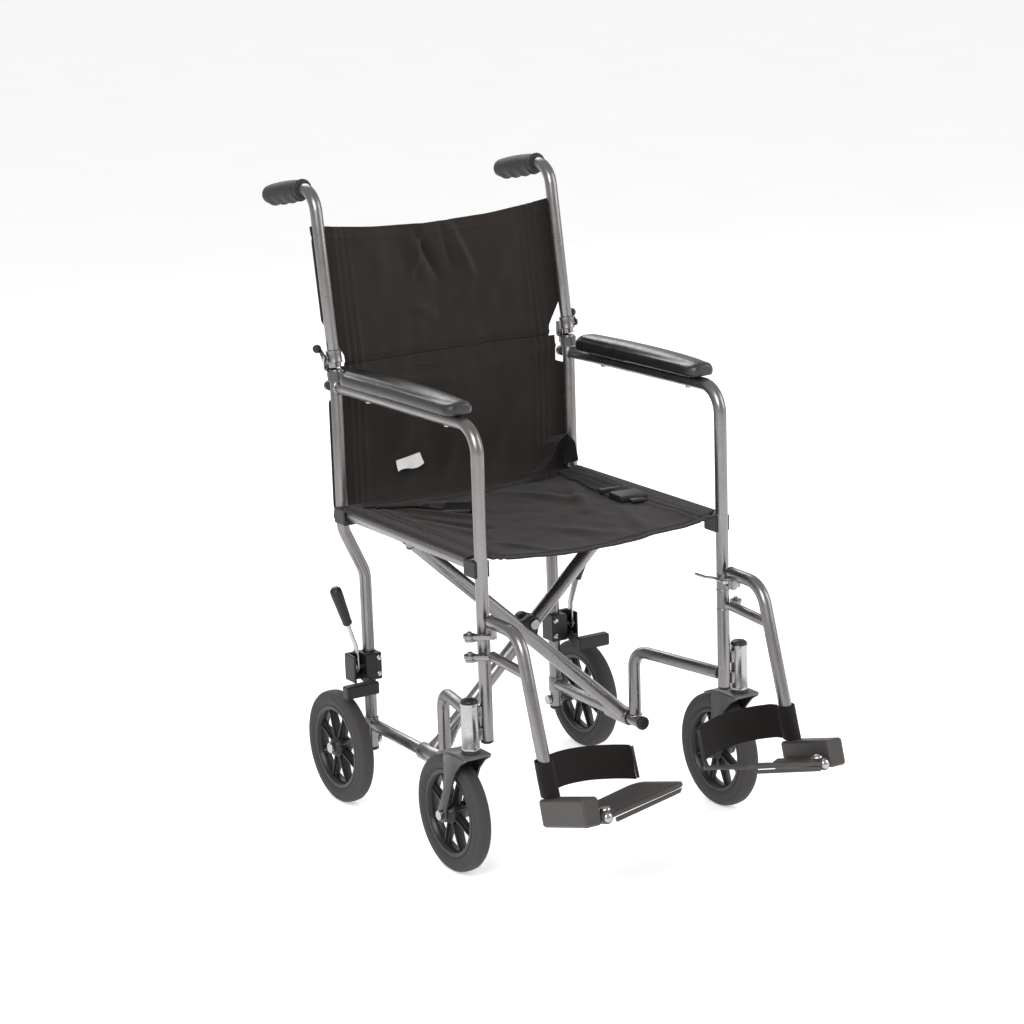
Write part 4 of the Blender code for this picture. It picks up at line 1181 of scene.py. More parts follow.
# ---------------------------------------------------------------- wheel locks
@dataclass
class WheelLocks:
    """The two brake levers, with their tapered hand grips."""

    finishes: Finishes
    pin_y: float = FRONT_Y + 0.4095
    pin_z: float = 0.215
    inner_x: float = 0.1965
    plate_thick: float = 0.003

    def build(self) -> None:
        """Builds the right lever, mirrors it and sets both on the brakes."""
        y, z, x = self.pin_y, self.pin_z, -self.inner_x
        flat = [
            (-0.0062, -0.003), (-0.004, -0.0072), (0.004, -0.0072), (0.0062, -0.003), (0.0062, 0.034)
        ]
        flat += [(-0.0062, 0.034)]
        lower = plate(flat, lambda a, b: (x, y + a, z + b), (-self.plate_thick, 0, 0))
        pick_up(lower)
        edit_all()
        bpy.ops.mesh.select_all(action="DESELECT")
        bpy.ops.object.mode_set(mode="OBJECT")
        for face in lower.data.polygons:
            face.select = face.normal.z > 0.9 and face.center.z > z + 0.03
        bpy.ops.object.mode_set(mode="EDIT")
        pull((-0.0155, 0, 0.046))
        close_up()
        parts = [paint(soften(lower, 0.0006), self.finishes.bright)]
        start = Vector((x - 0.014, y - 0.001, z + 0.072))
        end = Vector((x - 0.0372, y - 0.006, z + 0.136))
        length = (end - start).length
        profile = [
            (0, 0), (0, 0.0066), (0.003, 0.0078), (0.008, 0.0074), (0.012, 0.0078),
            (length * 0.55, 0.0088)
        ]
        profile += [(length * 0.84, 0.0096), (length * 0.93, 0.009), (length * 0.98, 0.0062), (length, 0)]
        parts.append(
            paint(soften(turned(profile, start, end - start, 32), 0.0005, 50), self.finishes.plastic)
        )
        head = [(0.0004, 0), (0.0004, 0.0056), (0.0022, 0.0054), (0.0034, 0.0036), (0.0038, 0)]
        parts.append(
            paint(
                soften(turned(head, (x - self.plate_thick, y, z), (-1, 0, 0), 24), 0.0002),
                self.finishes.bright
            )
        )
        right = weld("brake_lever_and_grip_r", parts)
        hand_over(mirrored(right, "brake_lever_and_grip_l"), "brake_l", "bright_steel", "brake_lever_l")
        hand_over(right, "brake_r", "bright_steel", "brake_lever_r")
        for side in Side:
            for height in (0.201, 0.2265):
                bolt = turned(
                    [(-0.0002, 0), (-0.0002, 0.0048), (0.0014, 0.0048), (0.0026, 0.004), (0.003, 0)],
                    (side.value * 0.1635, LOWER_POST_Y - 0.018, height), (0, -1, 0), 6,
                )
                bolt = paint(soften(bolt, 0.0003, 25), self.finishes.bright)
                where = "lower" if height < 0.21 else "upper"
                hand_over(
                    weld(f"brake_clamp_bolt_{where}_{side.tag}", [bolt]), side.frame_body, "bright_steel"
                )


# ---------------------------------------------------------------- footrests
@dataclass
class Footrests:
    """Swing-away hangers, flip-up footplates and heel loops."""

    finishes: Finishes
    pin_x: float = 0.233
    plate_tilt: float = radians(9)
    plate_reach: float = 0.137
    plate_rear: float = -0.022
    plate_front: float = 0.112
    barrel_in: float = 0.0232
    barrel_up: float = -0.013
    strap_width: float = 0.05

    def axes(self) -> Matrix:
        """The right footrest's own inboard, forward and up axes, as a matrix."""
        corner = Matrix.Translation((-POST_X, FRONT_Y - 0.1745, 0.15))
        inboard, forward, up = Vector((1, 0, 0)), Vector(
            (0, -cos(TOE_UP), sin(TOE_UP))
        ), Vector((0, sin(TOE_UP), cos(TOE_UP)))
        return corner @ Matrix((inboard, forward, up)).transposed().to_4x4()

    def hanger(self) -> Piece:
        """The bent hanger tube with its strut, eyes, arms, latch tab and tip collar.

        Returns:
            The welded piece.
        """
        x = -POST_X
        frame_axes = self.axes()
        end = frame_axes @ Vector((0, 0, 0.0212))
        route = [(x, FRONT_Y - 0.0215, 0.39), (x, FRONT_Y - 0.098, 0.389), end]
        parts = [soften(bent_tube(route, [0.042], TUBE_R))]
        parts.append(soften(rod((x, FRONT_Y - 0.0225, 0.3393), (x, FRONT_Y - 0.112, 0.3338), 0.0075)))
        eye, tube = Vector((-self.pin_x, FRONT_Y)), Vector((x, FRONT_Y - 0.0235))
        along = (tube - eye).normalized()
        over = Vector((-along.y, along.x)) * 0.006
        outline = [
            eye + over, eye + over * 0.4 - along * 0.004, eye - over * 0.4 - along * 0.004, eye - over,
            tube - over, tube + over
        ]
        for z in (0.3348, 0.3648):
            parts.append(soften(plate(outline, lambda a, b, z=z: (a, b, z), (0, 0, 0.006)), 0.0012))
            ring = [(0, 0.0043), (0, 0.0092), (0.006, 0.0092), (0.006, 0.0043)]
            parts.append(soften(turned(ring, (-self.pin_x, FRONT_Y, z), (0, 0, 1), 32), 0.0008))
        web = [(-0.031, 0.3658), (-0.02, 0.3658), (-0.02, 0.385), (-0.031, 0.385)]
        parts.append(soften(plate(web, lambda a, b: (x - 0.004, FRONT_Y + a, b), (0.008, 0, 0)), 0.001))
        tab = block((x + 0.004, FRONT_Y - 0.032, 0.3835), (x + 0.0185, FRONT_Y - 0.0235, 0.3865), 0.001)
        pin = rod(
            (x + 0.0145, FRONT_Y - 0.0275, 0.3765), (x + 0.0145, FRONT_Y - 0.0275, 0.385), 0.0015, sides=12
        )
        parts += [tab, pin]
        for part in parts:
            paint(part, self.finishes.tube)
        plug = [(-0.0012, 0), (-0.0012, 0.0096), (0.0004, 0.01), (0.0018, 0.0092), (0.0024, 0)]
        parts.append(
            paint(
                soften(turned(plug, (x, FRONT_Y - 0.0215, 0.39), (0, 1, 0), 28), 0.0003),
                self.finishes.plastic
            )
        )
        return weld("footrest_hanger_tube_r", parts)

    def footplate(self) -> Piece:
        """The moulded plate: raised border, ridged tread, stiffening lip and hinge barrel.

        Returns:
            The plate.
        """
        axes = self.axes()
        reach, rear, front = self.plate_reach, self.plate_rear, self.plate_front
        corner = 0.022
        outline = [(0.0, rear + 0.012), (0.0, front - 0.004)]
        outline += [
            (
                reach - corner + corner * cos(radians(a)), front - corner + corner * sin(radians(a))
            ) for a in range(90, -1, -15)
        ]
        outline += [
            (
                reach - corner + corner * cos(radians(a)), rear + corner + corner * sin(radians(a))
            ) for a in range(0, -91, -15)
        ]
        made = plate(outline, lambda a, b: (a, b, -0.004), (0, 0, 0.008))
        bpy.ops.object.mode_set(mode="OBJECT")
        for face in made.data.polygons:
            face.select = face.normal.z > 0.9
        bpy.ops.object.mode_set(mode="EDIT")
        bpy.ops.mesh.select_mode(type="FACE")
        bpy.ops.mesh.inset(thickness=0.005, depth=0.0)
        bpy.ops.mesh.inset(thickness=0.0012, depth=-0.0014)
        bpy.ops.mesh.select_mode(type="VERT")
        close_up()
        parts = [soften(made, 0.0008)]
        for index in range(21):
            across = rear + 0.014 + (front - rear - 0.028) * index / 20
            start = 0.016 if 2 < index < 18 else 0.022
            parts.append(
                block((start, across - 0.0011, 0.0022), (reach - 0.0105, across + 0.0011, 0.0039), 0.0005)
            )
        lip = [(0.01, -0.004), (reach - 0.01, -0.004), (reach - 0.016, -0.0095), (0.01, -0.0105)]
        parts.append(soften(plate(lip, lambda a, b: (a, front - 0.0075, b), (0, 0.003, 0)), 0.0008))
        root = [
            (-0.004, rear + 0.016), (-0.004, front - 0.008), (0.02, front - 0.016), (0.02, rear + 0.024)
        ]
        parts.append(soften(plate(root, lambda a, b: (a, b, -0.005), (0, 0, 0.0112)), 0.0022))
        tilt = Matrix.Translation(
            (self.barrel_in, 0, self.barrel_up)
        ) @ Matrix.Rotation(-self.plate_tilt, 4, "Y")
        for part in parts:
            part.data.transform(axes @ tilt)
        barrel = [
            (-0.012, 0.003), (-0.012, 0.008), (-0.0108, 0.0092), (0.1028, 0.0092), (0.104, 0.008),
            (0.104, 0.003)
        ]
        tube = turned(barrel, (self.barrel_in, 0, self.barrel_up), (0, 1, 0), 36)
        for vertex in tube.data.vertices:
            vertex.co = axes @ vertex.co
        parts.append(soften(tube, 0.0003))
        for part in parts:
            paint(part, self.finishes.plate)
        for run, way in ((0.104, 1), (-0.012, -1)):
            head = [
                (-0.001, 0), (-0.001, 0.0072), (0.0012, 0.0072), (0.003, 0.006), (0.0044, 0.0036),
                (0.0048, 0)
            ]
            bolt = turned(head, (self.barrel_in, run, self.barrel_up), (0, way, 0), 28)
            for vertex in bolt.data.vertices:
                vertex.co = axes @ vertex.co
            parts.append(paint(soften(bolt, 0.0003), self.finishes.bright))
        dome = [(0.0, 0), (0.0, 0.0086), (0.002, 0.0088), (0.0048, 0.0072), (0.0066, 0.0042), (0.0072, 0)]
        knob = turned(dome, (0.0, 0.0, 0.0), (0, 0, 1), 32)
        knob.data.transform(axes @ Matrix.Translation((self.barrel_in + 0.004, 0.093, -0.005)))
        parts.append(paint(soften(knob, 0.0003), self.finishes.bright))
        return weld("ridged_footplate_r", parts)

    def strap_route(self) -> list[Vector]:
        """Draws the heel loop's centre line: round the hanger, then bowed rearward to the inner corner.

        Returns:
            The line's points.
        """
        def hanger_y(z: float) -> float:
            """The hanger tube's middle at a height."""
            return FRONT_Y - 0.1687 + 0.3233 * (z - 0.1704)

        z0, z1 = 0.1945, 0.1845
        route = []
        for step in range(17):
            turn = radians(20 * step - 10)
            radius = TUBE_R + 0.0026 + 0.0018 * (1 - step / 16)
            route.append(Vector((-POST_X - radius * sin(turn), hanger_y(z0) + radius * cos(turn), z0)))
        outer, inner = Vector(
            (-POST_X + 0.004, FRONT_Y - 0.148, z0)
        ), Vector((-0.058, FRONT_Y - 0.15, z1))
        for index in range(1, 31):
            part = index / 30
            point = outer.lerp(inner, part)
            bow = 0.024 * sin(pi * part) ** 0.8
            route.append(point + Vector((0.006 * (1 - part) ** 4, bow, 0)))
        return route

    def heel_loop(self) -> tuple[Piece, float]:
        """Lays the webbing band along its route.

        Returns:
            The band and its full length.
        """
        route = self.strap_route()
        lengths = [0.0]
        for first, last in zip(route, route[1:]):
            lengths.append(lengths[-1] + (last - first).length)
        total = lengths[-1]
        up = Vector((0, 0.3233, 1)).normalized()

        def along(share: float) -> Vector:
            """The route's point at a share of its length."""
            want = share * total
            for index in range(1, len(route)):
                if lengths[index] >= want or index == len(route) - 1:
                    span = max(1e-9, lengths[index] - lengths[index - 1])
                    return route[index - 1].lerp(route[index], min(1.0, (want - lengths[index - 1]) / span))
            return route[-1]

        def place(u: float, v: float) -> Vector:
            """A point of the band, slack at its lower edge."""
            point = along(u)
            droop = 0.0016 * sin(pi * min(1.0, max(0.0, (u - 0.3) / 0.7))) * (v - 0.5) * -2
            ripple = 0.0005 * noise.noise(Vector((u * 9, v * 2, 3.7)))
            return point + up * ((v - 0.5) * self.strap_width) + Vector((0, droop + ripple, 0))

        band = woven_sheet(110, 10, (total, self.strap_width), place)
        paint(thicken(band, 0.0018), self.finishes.webbing)
        return weld("heel_loop_webbing_r", [band]), total

    def clip(self) -> Piece:
        """The moulded post on the footplate's inner rear corner that the strap's end wraps."""
        top, low = Vector((-0.058, FRONT_Y - 0.147, 0.208)), Vector((-0.058, FRONT_Y - 0.162, 0.164))
        post = paint(soften(rod(low, top, 0.0024, sides=16), 0.0004), self.finishes.plastic)
        return weld("heel_loop_post_r", [post])

    def build(self) -> None:
        """Builds the right footrest, mirrors its pieces and hands both sides over."""
        for right, name, slot, node, body in (
            (self.hanger(), "footrest_hanger_tube", "steel_tube", "hanger", "hanger"),
            (self.footplate(), "ridged_footplate", "black_plastic", "footplate", "footplate"),
            (self.clip(), "heel_loop_post", "black_plastic", None, "footplate"),
        ):
            left = mirrored(right, f"{name}_l")
            hand_over(left, f"{body}_l", slot, *([f"{node}_l"] if node else []))
            hand_over(right, f"{body}_r", slot, *([f"{node}_r"] if node else []))
        right, total = self.heel_loop()
        for side, strap in ((Side.LEFT, mirrored(right, "heel_loop_webbing_l")), (Side.RIGHT, right)):
            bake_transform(strap)
            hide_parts(f"heel_loop_{side.tag}")
            LOG.info("%s bends between its hanger and footplate", strap.name)


# ---------------------------------------------------------------- cross-brace
@dataclass
class CrossBrace:
    """The two folding braces, each with its seat rail, gusset, sleeve and black knuckle."""

    finishes: Finishes
    tube_r: float = 0.011
    sleeve_r: float = 0.0135
    pivot_z: float = 0.297
    sleeve_y: tuple[float, float] = (FRONT_Y + 0.199, FRONT_Y + 0.258)

    def half(self, name: str, side: int, y: float, rail_ends: tuple[float, float]) -> Piece:
        """One brace that rises towards a side.

        Args:
            name: The piece's name.
            side: The sign of x at its upper end.
            y: Where its diagonal tube lies.
            rail_ends: The y of its seat rail's ends.

        Returns:
            The welded brace.
        """
        low, high = Vector((-side * LOWER_X, 0, 0.1145)), Vector((side * POST_X, 0, SEAT_RAIL_Z))
        along = (high - low).normalized()
        lift = Vector((-along.z, 0, along.x)) * side
        deep = Vector((0, y, 0))
        rail = bent_tube([(high.x, rail_ends[0], high.z), (high.x, rail_ends[1], high.z)], [], TUBE_R)
        diagonal = bent_tube([low + deep + along * 0.01, high + deep], [], self.tube_r)
        sleeve = turned(
            [
                (0.0, 0.0104), (0.0, 0.013), (0.001, self.sleeve_r), (0.058, self.sleeve_r),
                (0.059, 0.013), (0.059, 0.0104)
            ],
            (low.x, self.sleeve_y[0], low.z), (0, 1, 0), 36,
        )
        gusset_line = [
            (0.01, self.sleeve_y[0] + 0.001), (0.01, self.sleeve_y[1] - 0.001),
            (0.03, self.sleeve_y[1] - 0.006), (0.078, y + 0.005), (0.078, y - 0.005),
            (0.03, self.sleeve_y[0] + 0.006)
        ]
        gusset = plate(
            gusset_line, lambda a, b: low + along * a + Vector((0, b, 0)) - lift * 0.0016, lift * 0.0032
        )
        bead = turned(
            [(0, 0.0104), (0, 0.0138), (0.0022, 0.0126), (0.0042, 0.0106)], high + deep - along * 0.012,
            -along, 32
        )
        parts = [soften(part) for part in (rail, diagonal, sleeve)]
        parts += [soften(gusset, 0.001), soften(bead, 0.0004)]
        for part in parts:
            paint(part, self.finishes.tube)
        for end, way in ((rail_ends[0], -1), (rail_ends[1], 1)):
            cap = turned(
                [(-0.0004, 0), (-0.0004, 0.0094), (0.0008, 0.0099), (0.002, 0.0088), (0.0026, 0)],
                (high.x, end, high.z), (0, way, 0), 28
            )
            parts.append(paint(soften(cap, 0.0003), self.finishes.plastic))
        pivot = Vector((0, y, self.pivot_z))
        foot = (pivot - low - deep).dot(along)
        outline = []
        for step in range(13):
            angle = pi * step / 12
            outline.append((0.0124 * cos(angle), 0.0124 * sin(angle)))
        rise = (pivot - (low + deep + along * foot)).dot(lift)
        outline += [(-0.025, -rise - 0.004), (0.025, -rise - 0.004)]
        knuckle = plate(
            outline, lambda a, b: pivot + along * a + lift * b - Vector((0, 0.0085, 0)), (0, 0.017, 0)
        )
        parts.append(paint(soften(knuckle, 0.0022, 30), self.finishes.plastic))
        return weld(name, parts)

    def build(self) -> None:
        """Builds both halves and hands them over."""
        rear_y, front_y = FRONT_Y + 0.2345, FRONT_Y + 0.2105
        hand_over(
            self.half("cross_brace_rear_half", Side.LEFT.value, rear_y, RAIL_ENDS), "brace_a", "steel_tube",
            "brace_a"
        )
        hand_over(
            self.half("cross_brace_front_half", Side.RIGHT.value, front_y, RAIL_ENDS), "brace_b",
            "steel_tube", "brace_b"
        )


# ---------------------------------------------------------------- upholstery
@dataclass(frozen=True)
class Crease:
    """A soft fold in a cloth, from one point on it to another."""

    start: tuple[float, float]
    end: tuple[float, float]
    width: float
    depth: float

    def height(self, a: float, b: float) -> float:
        """How far the cloth stands out near the fold.

        Args:
            a: The point's first coordinate on the cloth.
            b: Its second coordinate.

        Returns:
            The height of the fold there.
        """
        run = Vector(self.end) - Vector(self.start)
        share = (Vector((a, b)) - Vector(self.start)).dot(run) / run.length_squared
        near = Vector(self.start) + run * min(1.0, max(0.0, share))
        gap = (Vector((a, b)) - near).length
        fade = sin(pi * min(1.0, max(0.0, share * 0.8 + 0.1)))
        return self.depth * exp(-((gap / self.width) ** 2)) * fade


UPPER_FOLDS = (
    Crease((-0.03, 0.872), (0.006, 0.792), 0.0075, -0.0095),
    Crease((-0.044, 0.868), (-0.022, 0.8), 0.01, 0.0076),
    Crease((-0.016, 0.886), (-0.052, 0.8), 0.006, 0.0065),
    Crease((0.012, 0.884), (0.03, 0.806), 0.006, -0.006),
    Crease((0.03, 0.88), (0.062, 0.792), 0.007, 0.007),
    Crease((-0.06, 0.764), (-0.01, 0.742), 0.008, 0.005),
    Crease((-0.01, 0.742), (0.04, 0.77), 0.008, -0.005),
    Crease((0.01, 0.88), (0.055, 0.8), 0.016, 0.0057),
    Crease((-0.13, 0.72), (-0.02, 0.76), 0.018, 0.0053),
    Crease((0.07, 0.74), (0.15, 0.87), 0.014, 0.0049),
    Crease((-0.15, 0.88), (-0.06, 0.8), 0.016, 0.0038),
    Crease((0.02, 0.7), (0.14, 0.716), 0.012, 0.0049),
)
LOWER_FOLDS = (
    Crease((-0.15, 0.66), (0.02, 0.64), 0.01, 0.0049),
    Crease((0.000, 0.64), (0.16, 0.668), 0.011, 0.0053),
    Crease((-0.14, 0.5), (-0.06, 0.6), 0.018, 0.0057),
    Crease((0.06, 0.48), (0.13, 0.62), 0.016, 0.0057),
    Crease((-0.02, 0.47), (0.01, 0.56), 0.014, 0.0046),
)


SEAT_FOLDS = (
    Crease((-0.17, 0.2), (-0.06, 0.08), 0.01, 0.0065),
    Crease((-0.165, 0.15), (-0.08, 0.02), 0.009, -0.0065),
    Crease((-0.16, 0.09), (-0.11, -0.06), 0.011, 0.0057),
    Crease((-0.08, 0.21), (-0.02, 0.1), 0.013, 0.0053),
    Crease((0.04, 0.2), (0.12, 0.06), 0.014, 0.0057),
    Crease((0.16, 0.17), (0.08, 0.01), 0.012, 0.0057),
    Crease((-0.02, -0.02), (0.06, -0.14), 0.016, 0.0046),
    Crease((-0.13, -0.06), (-0.07, -0.15), 0.01, 0.0049),
    Crease((0.13, -0.02), (0.09, -0.14), 0.012, 0.0046),
)


@dataclass
class ArmPads:
    """Moulded arm pads, swollen by their foam."""

    finishes: Finishes
    rear: float = FRONT_Y + 0.366
    front: float = FRONT_Y + 0.039
    half_width: float = 0.0245
    thickness: float = 0.0262
    travel: float = 0.0022
    gap: float = 0.0012
    frames: int = 16
    voxel: float = 0.004

    def base_z(self, y: float) -> float:
        """The arm tube's top at a place along it."""
        return ARM_FRONT_Z - ARM_DROP * (y - FRONT_Y) / FRAME_DEPTH + TUBE_R + self.gap

    def blank(self) -> Piece:
        """The pad's foam before it swells: a bar pulled along the arm, with rounded ends.

        Returns:
            The foam.
        """
        section = [
            (-0.88, 0.0), (-0.98, 0.1), (-1.0, 0.3), (-0.98, 0.52), (-0.88, 0.74), (-0.66, 0.9),
            (-0.34, 0.98)
        ]
        section += [(0.0, 1.0)] + [(-a, b) for a, b in reversed(section)]
        clear_hands()
        bpy.ops.mesh.primitive_circle_add(vertices=len(section), radius=0.01)
        pad = just_added()
        for vertex, (a, b) in zip(pad.data.vertices, section):
            vertex.co = (-POST_X + a * self.half_width, self.rear, b * self.thickness)
        edit_all()
        steps = 36
        for _ in range(steps):
            pull((0, (self.front - self.rear) / steps, 0))
        close_up()
        length = self.rear - self.front
        for vertex in pad.data.vertices:
            run = (self.rear - vertex.co.y) / length
            near = min(run, 1 - run) * length
            share = min(1.0, near / 0.02)
            narrow = 0.66 + 0.34 * sqrt(max(0.0, 1 - (1 - share) ** 2))
            vertex.co.x = -POST_X + (vertex.co.x + POST_X) * narrow
            dome = 1 - 0.2 * max(0.0, 2 * run - 1) ** 2 - 0.08 * max(0.0, 1 - 2 * run) ** 2
            vertex.co.z = self.base_z(vertex.co.y) + vertex.co.z * (0.62 + 0.38 * narrow) * dome
        return pad

    def swell(self, pad: Piece) -> Piece:
        """Blows the pad up a little with a short cloth run and keeps its underside flat.

        Args:
            pad: The pad's foam.

        Returns:
            The swollen pad.
        """
        apply_modifier(pad, "REMESH", mode="VOXEL", voxel_size=self.voxel)
        rest = [vertex.co.copy() for vertex in pad.data.vertices]
        pick_up(pad)
        held = pad.vertex_groups.new(name="glued")
        for vertex in pad.data.vertices:
            if vertex.co.z < self.base_z(vertex.co.y) + 0.0035:
                held.add([vertex.index], 1.0, "REPLACE")
        run = pad.modifiers.new("swell", "CLOTH")
        run.settings.use_pressure = True
        run.settings.uniform_pressure_force = 4.0
        run.settings.effector_weights.gravity = 0.0
        run.settings.vertex_group_mass = held.name
        run.settings.quality = 5
        run.point_cache.frame_start, run.point_cache.frame_end = 1, self.frames
        for step in range(1, self.frames + 1):
            bpy.context.scene.frame_set(step)
        bpy.ops.object.modifier_apply(modifier=run.name)
        bpy.context.scene.frame_set(1)
        for vertex, before in zip(pad.data.vertices, rest):
            move = vertex.co - before
            if move.length > self.travel:
                vertex.co = before + move.normalized() * self.travel
        apply_modifier(pad, "SMOOTH", factor=0.5, iterations=3)
        for vertex in pad.data.vertices:
            floor = self.base_z(vertex.co.y)
            vertex.co.z = max(vertex.co.z, floor)
            up = (vertex.co.z - floor) / self.thickness
            side = abs(vertex.co.x + POST_X) / self.half_width
            vertex.co.z -= 0.0018 * exp(-(((up - 0.76) / 0.05) ** 2)) * (side > 0.5)
        apply_modifier(pad, "SUBSURF", levels=1, render_levels=1)
        for vertex in pad.data.vertices:
            vertex.co.z = max(vertex.co.z, self.base_z(vertex.co.y))
        pick_up(pad)
        bpy.ops.object.shade_smooth()
        return pad

    def build(self) -> None:
        """Builds the right pad with its seam and screws, mirrors it and hands both over."""
        pad = paint(self.swell(self.blank()), self.finishes.vinyl)
        right = weld("arm_pad_moulding_r", [pad])
        screws = []
        for y in (FRONT_Y + 0.08, FRONT_Y + 0.31):
            z = self.base_z(y) - 2 * TUBE_R - self.gap
            head = [(-0.001, 0), (-0.001, 0.005), (0.0008, 0.0048), (0.0022, 0.0032), (0.0026, 0)]
            screws.append(
                paint(soften(turned(head, (-POST_X, y, z), (0, 0, -1), 20), 0.0002), self.finishes.bright)
            )
        fixings = weld("arm_pad_screws_r", screws)
        hand_over(mirrored(fixings, "arm_pad_screws_l"), "left_frame", "bright_steel")
        hand_over(fixings, "right_frame", "bright_steel")
        for side, piece in ((Side.LEFT, mirrored(right, "arm_pad_moulding_l")), (Side.RIGHT, right)):
            hand_over(piece, side.frame_body, "arm_vinyl", f"arm_pad_{side.tag}")


@dataclass
class Upholstery:
    """The seat sling, the two back panels, their seams and the blank sewn-in label."""

    finishes: Finishes
    wrap: float = 0.0095
    sleeve_r: float = 0.0116
    back_bow: float = 0.0125
    sag: float = 0.015
    keep: float = 0.3777
    overlap: float = 0.004

    def folded_x(self, x: float) -> float:
        """How far behind the canes' centre line the cloth lies at a place across."""
        out = abs(x) - POST_X
        if out <= 0:
            return self.sleeve_r + self.back_bow * (1 - (x / POST_X) ** 2)
        return sqrt(max(0.0, self.sleeve_r**2 - out**2))

    def back_point(self, x: float, z: float, folds: Sequence[Crease], lean: float) -> Vector:
        """A point of the back's cloth.

        Args:
            x: Place across.
            z: Height.
            folds: The cloth's creases.
            lean: Rearward run for each unit of rise above the hinge.

        Returns:
            The point, with its folds and ripples.
        """
        y = CANE_Y + max(0.0, z - HINGE_Z) * lean + self.folded_x(x)
        ease = max(0.0, 1 - (abs(x) / 0.19) ** 6)
        y -= sum(fold.height(x, z) for fold in folds) * ease
        y += 0.0052 * ease * noise.noise(Vector((x * 15, z * 8, 1.3)))
        y += 0.002 * ease * noise.noise(Vector((x * 42, z * 16, 8.1)))
        for seam in BACK_SEAMS:
            y -= 0.0021 * exp(-(((abs(x) - seam) / 0.0026) ** 2))
        return Vector((x, y, z))

    def panel(
        self, name: str, bottom: float, top: float, dip: float, edges: Callable[[float], float],
        folds: Sequence[Crease], lean: float
    ) -> tuple[Piece, Piece]:
        """One back panel with turned hems and rows of stitches.

        Args:
            name: The piece's name.
            bottom: Its lower edge.
            top: Its upper edge at the canes.
            dip: How much lower the upper edge is in the middle.
            edges: Half the cloth's width at a height.
            folds: Its creases.
            lean: Rearward run for each unit of rise above the hinge.

        Returns:
            The panel and its stitching.
        """
        full = POST_X + self.wrap
        inner = 0.16

        def place(u: float, v: float) -> Vector:
            """A point of the panel."""
            x = (2 * u - 1) * full
            z = bottom + v * (top - dip * (1 - min(1.0, abs(x) / POST_X) ** 2) - bottom)
            if lean == 0.0:
                z -= 0.012 * (1 - v) * max(0.0, 1 - (abs(x) / 0.185) ** 4)
            limit = edges(z)
            if abs(x) > inner:
                x = (inner + (abs(x) - inner) * (limit - inner) / (full - inner)) * (1 if x > 0 else -1)
            point = self.back_point(x, z, folds, lean)
            point.y += self.overlap * max(0.0, 1 - max(0.0, z - HINGE_Z) / 0.012) * (lean > 0)
            for edge in (v * (top - bottom), (1 - v) * (top - bottom)):
                point.y -= 0.0028 * exp(-(((edge - 0.016) / 0.0028) ** 2))
                point.y += 0.0009 * exp(-(((edge - 0.003) / 0.003) ** 2))
            return point

        size = (2 * full, top - bottom)
        cloth = paint(thicken(woven_sheet(150, 76, size, place), CLOTH_THICKNESS), self.finishes.nylon)
        rows = []
        step = STITCH
        for seam in BACK_STITCHES:
            count = int((top - bottom - 0.02) / step)
            points = [self.back_point(seam, bottom + 0.008 + k * step, folds, lean) for k in range(count)]
            points = [p for p in points if p.z < top - dip * (1 - (seam / POST_X) ** 2) - 0.004]
            rows.append(self.sewn([p - Vector((0, 0.0014, 0)) for p in points], (0, -1, 0)))
        for height in (0.0125, 0.0185):
            for from_top in (False, True):
                points = []
                for k in range(int(0.35 / step)):
                    x = -0.175 + k * step
                    edge = top - dip * (1 - (x / POST_X) ** 2)
                    z = edge - height if from_top else bottom + height
                    points.append(self.back_point(x, z, folds, lean) - Vector((0, 0.0016, 0)))
                rows.append(self.sewn(points, (0, -1, 0)))
        seams = weld(f"{name}_stitching", rows)
        cloth = weld(name, [cloth])
        return cloth, seams

    def sewn(self, points: Sequence[Vector], outward: Point) -> Piece:
        """A row of stitches in the upholstery's thread."""
        return stitch_row(points, Vector(outward), self.finishes.thread)

    def build_back(self) -> None:
        """Builds both back panels and hands them over."""
        full = POST_X + self.wrap

        def upper_edge(z: float) -> float:
            """Half the upper panel's width: cut away towards the hinges."""
            return 0.184 + (full - 0.184) * min(1.0, max(0.0, (z - 0.704) / 0.058))

        def lower_edge(z: float) -> float:
            """Half the lower panel's width: clear of the hinge clamps."""
            return full - (full - 0.193) * min(1.0, max(0.0, (z - 0.638) / 0.01))

        for name, args, body, node in (
            (
                "upper_back_cloth", (0.679, 0.902, 0.017, upper_edge, UPPER_FOLDS, CANE_LEAN), "cane_r",
                "back_upper"
            ),
            (
                "lower_back_cloth", (0.455, 0.688, 0.0, lower_edge, LOWER_FOLDS, 0.0), "right_frame",
                "back_lower"
            ),
        ):
            cloth, seams = self.panel(name, *args)
            for piece in (cloth, seams):
                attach(piece, body)
                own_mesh(piece)
            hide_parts(node)
            LOG.info("%s narrows as the chair folds", name)

    def seat_point(self, x: float, y: float, folds: Sequence[Crease]) -> Vector:
        """A point of the seat's cloth, which lies over the rails and sags between them.

        Args:
            x: Place across.
            y: Place from front to rear.
            folds: The cloth's creases.

        Returns:
            The point.
        """
        out = abs(x) - POST_X
        top = SEAT_RAIL_Z + TUBE_R + 0.0022
        if out > 0:
            return Vector((x, y, SEAT_RAIL_Z + sqrt(max(0.0, (TUBE_R + 0.0022) ** 2 - out**2))))
        share = abs(x) / POST_X
        z = top - self.sag * (1 - share**2.4)
        ease = max(0.0, 1 - share**8)
        z += sum(fold.height(x, y) for fold in folds) * ease
        z += 0.004 * ease * noise.noise(Vector((x * 13, y * 9, 4.4)))
        z += 0.0016 * ease * noise.noise(Vector((x * 38, y * 26, 2.2)))
        for seam in SEAT_SEAMS:
            z += 0.0017 * exp(-(((abs(x) - seam) / 0.0026) ** 2))
        return Vector((x, y, z))

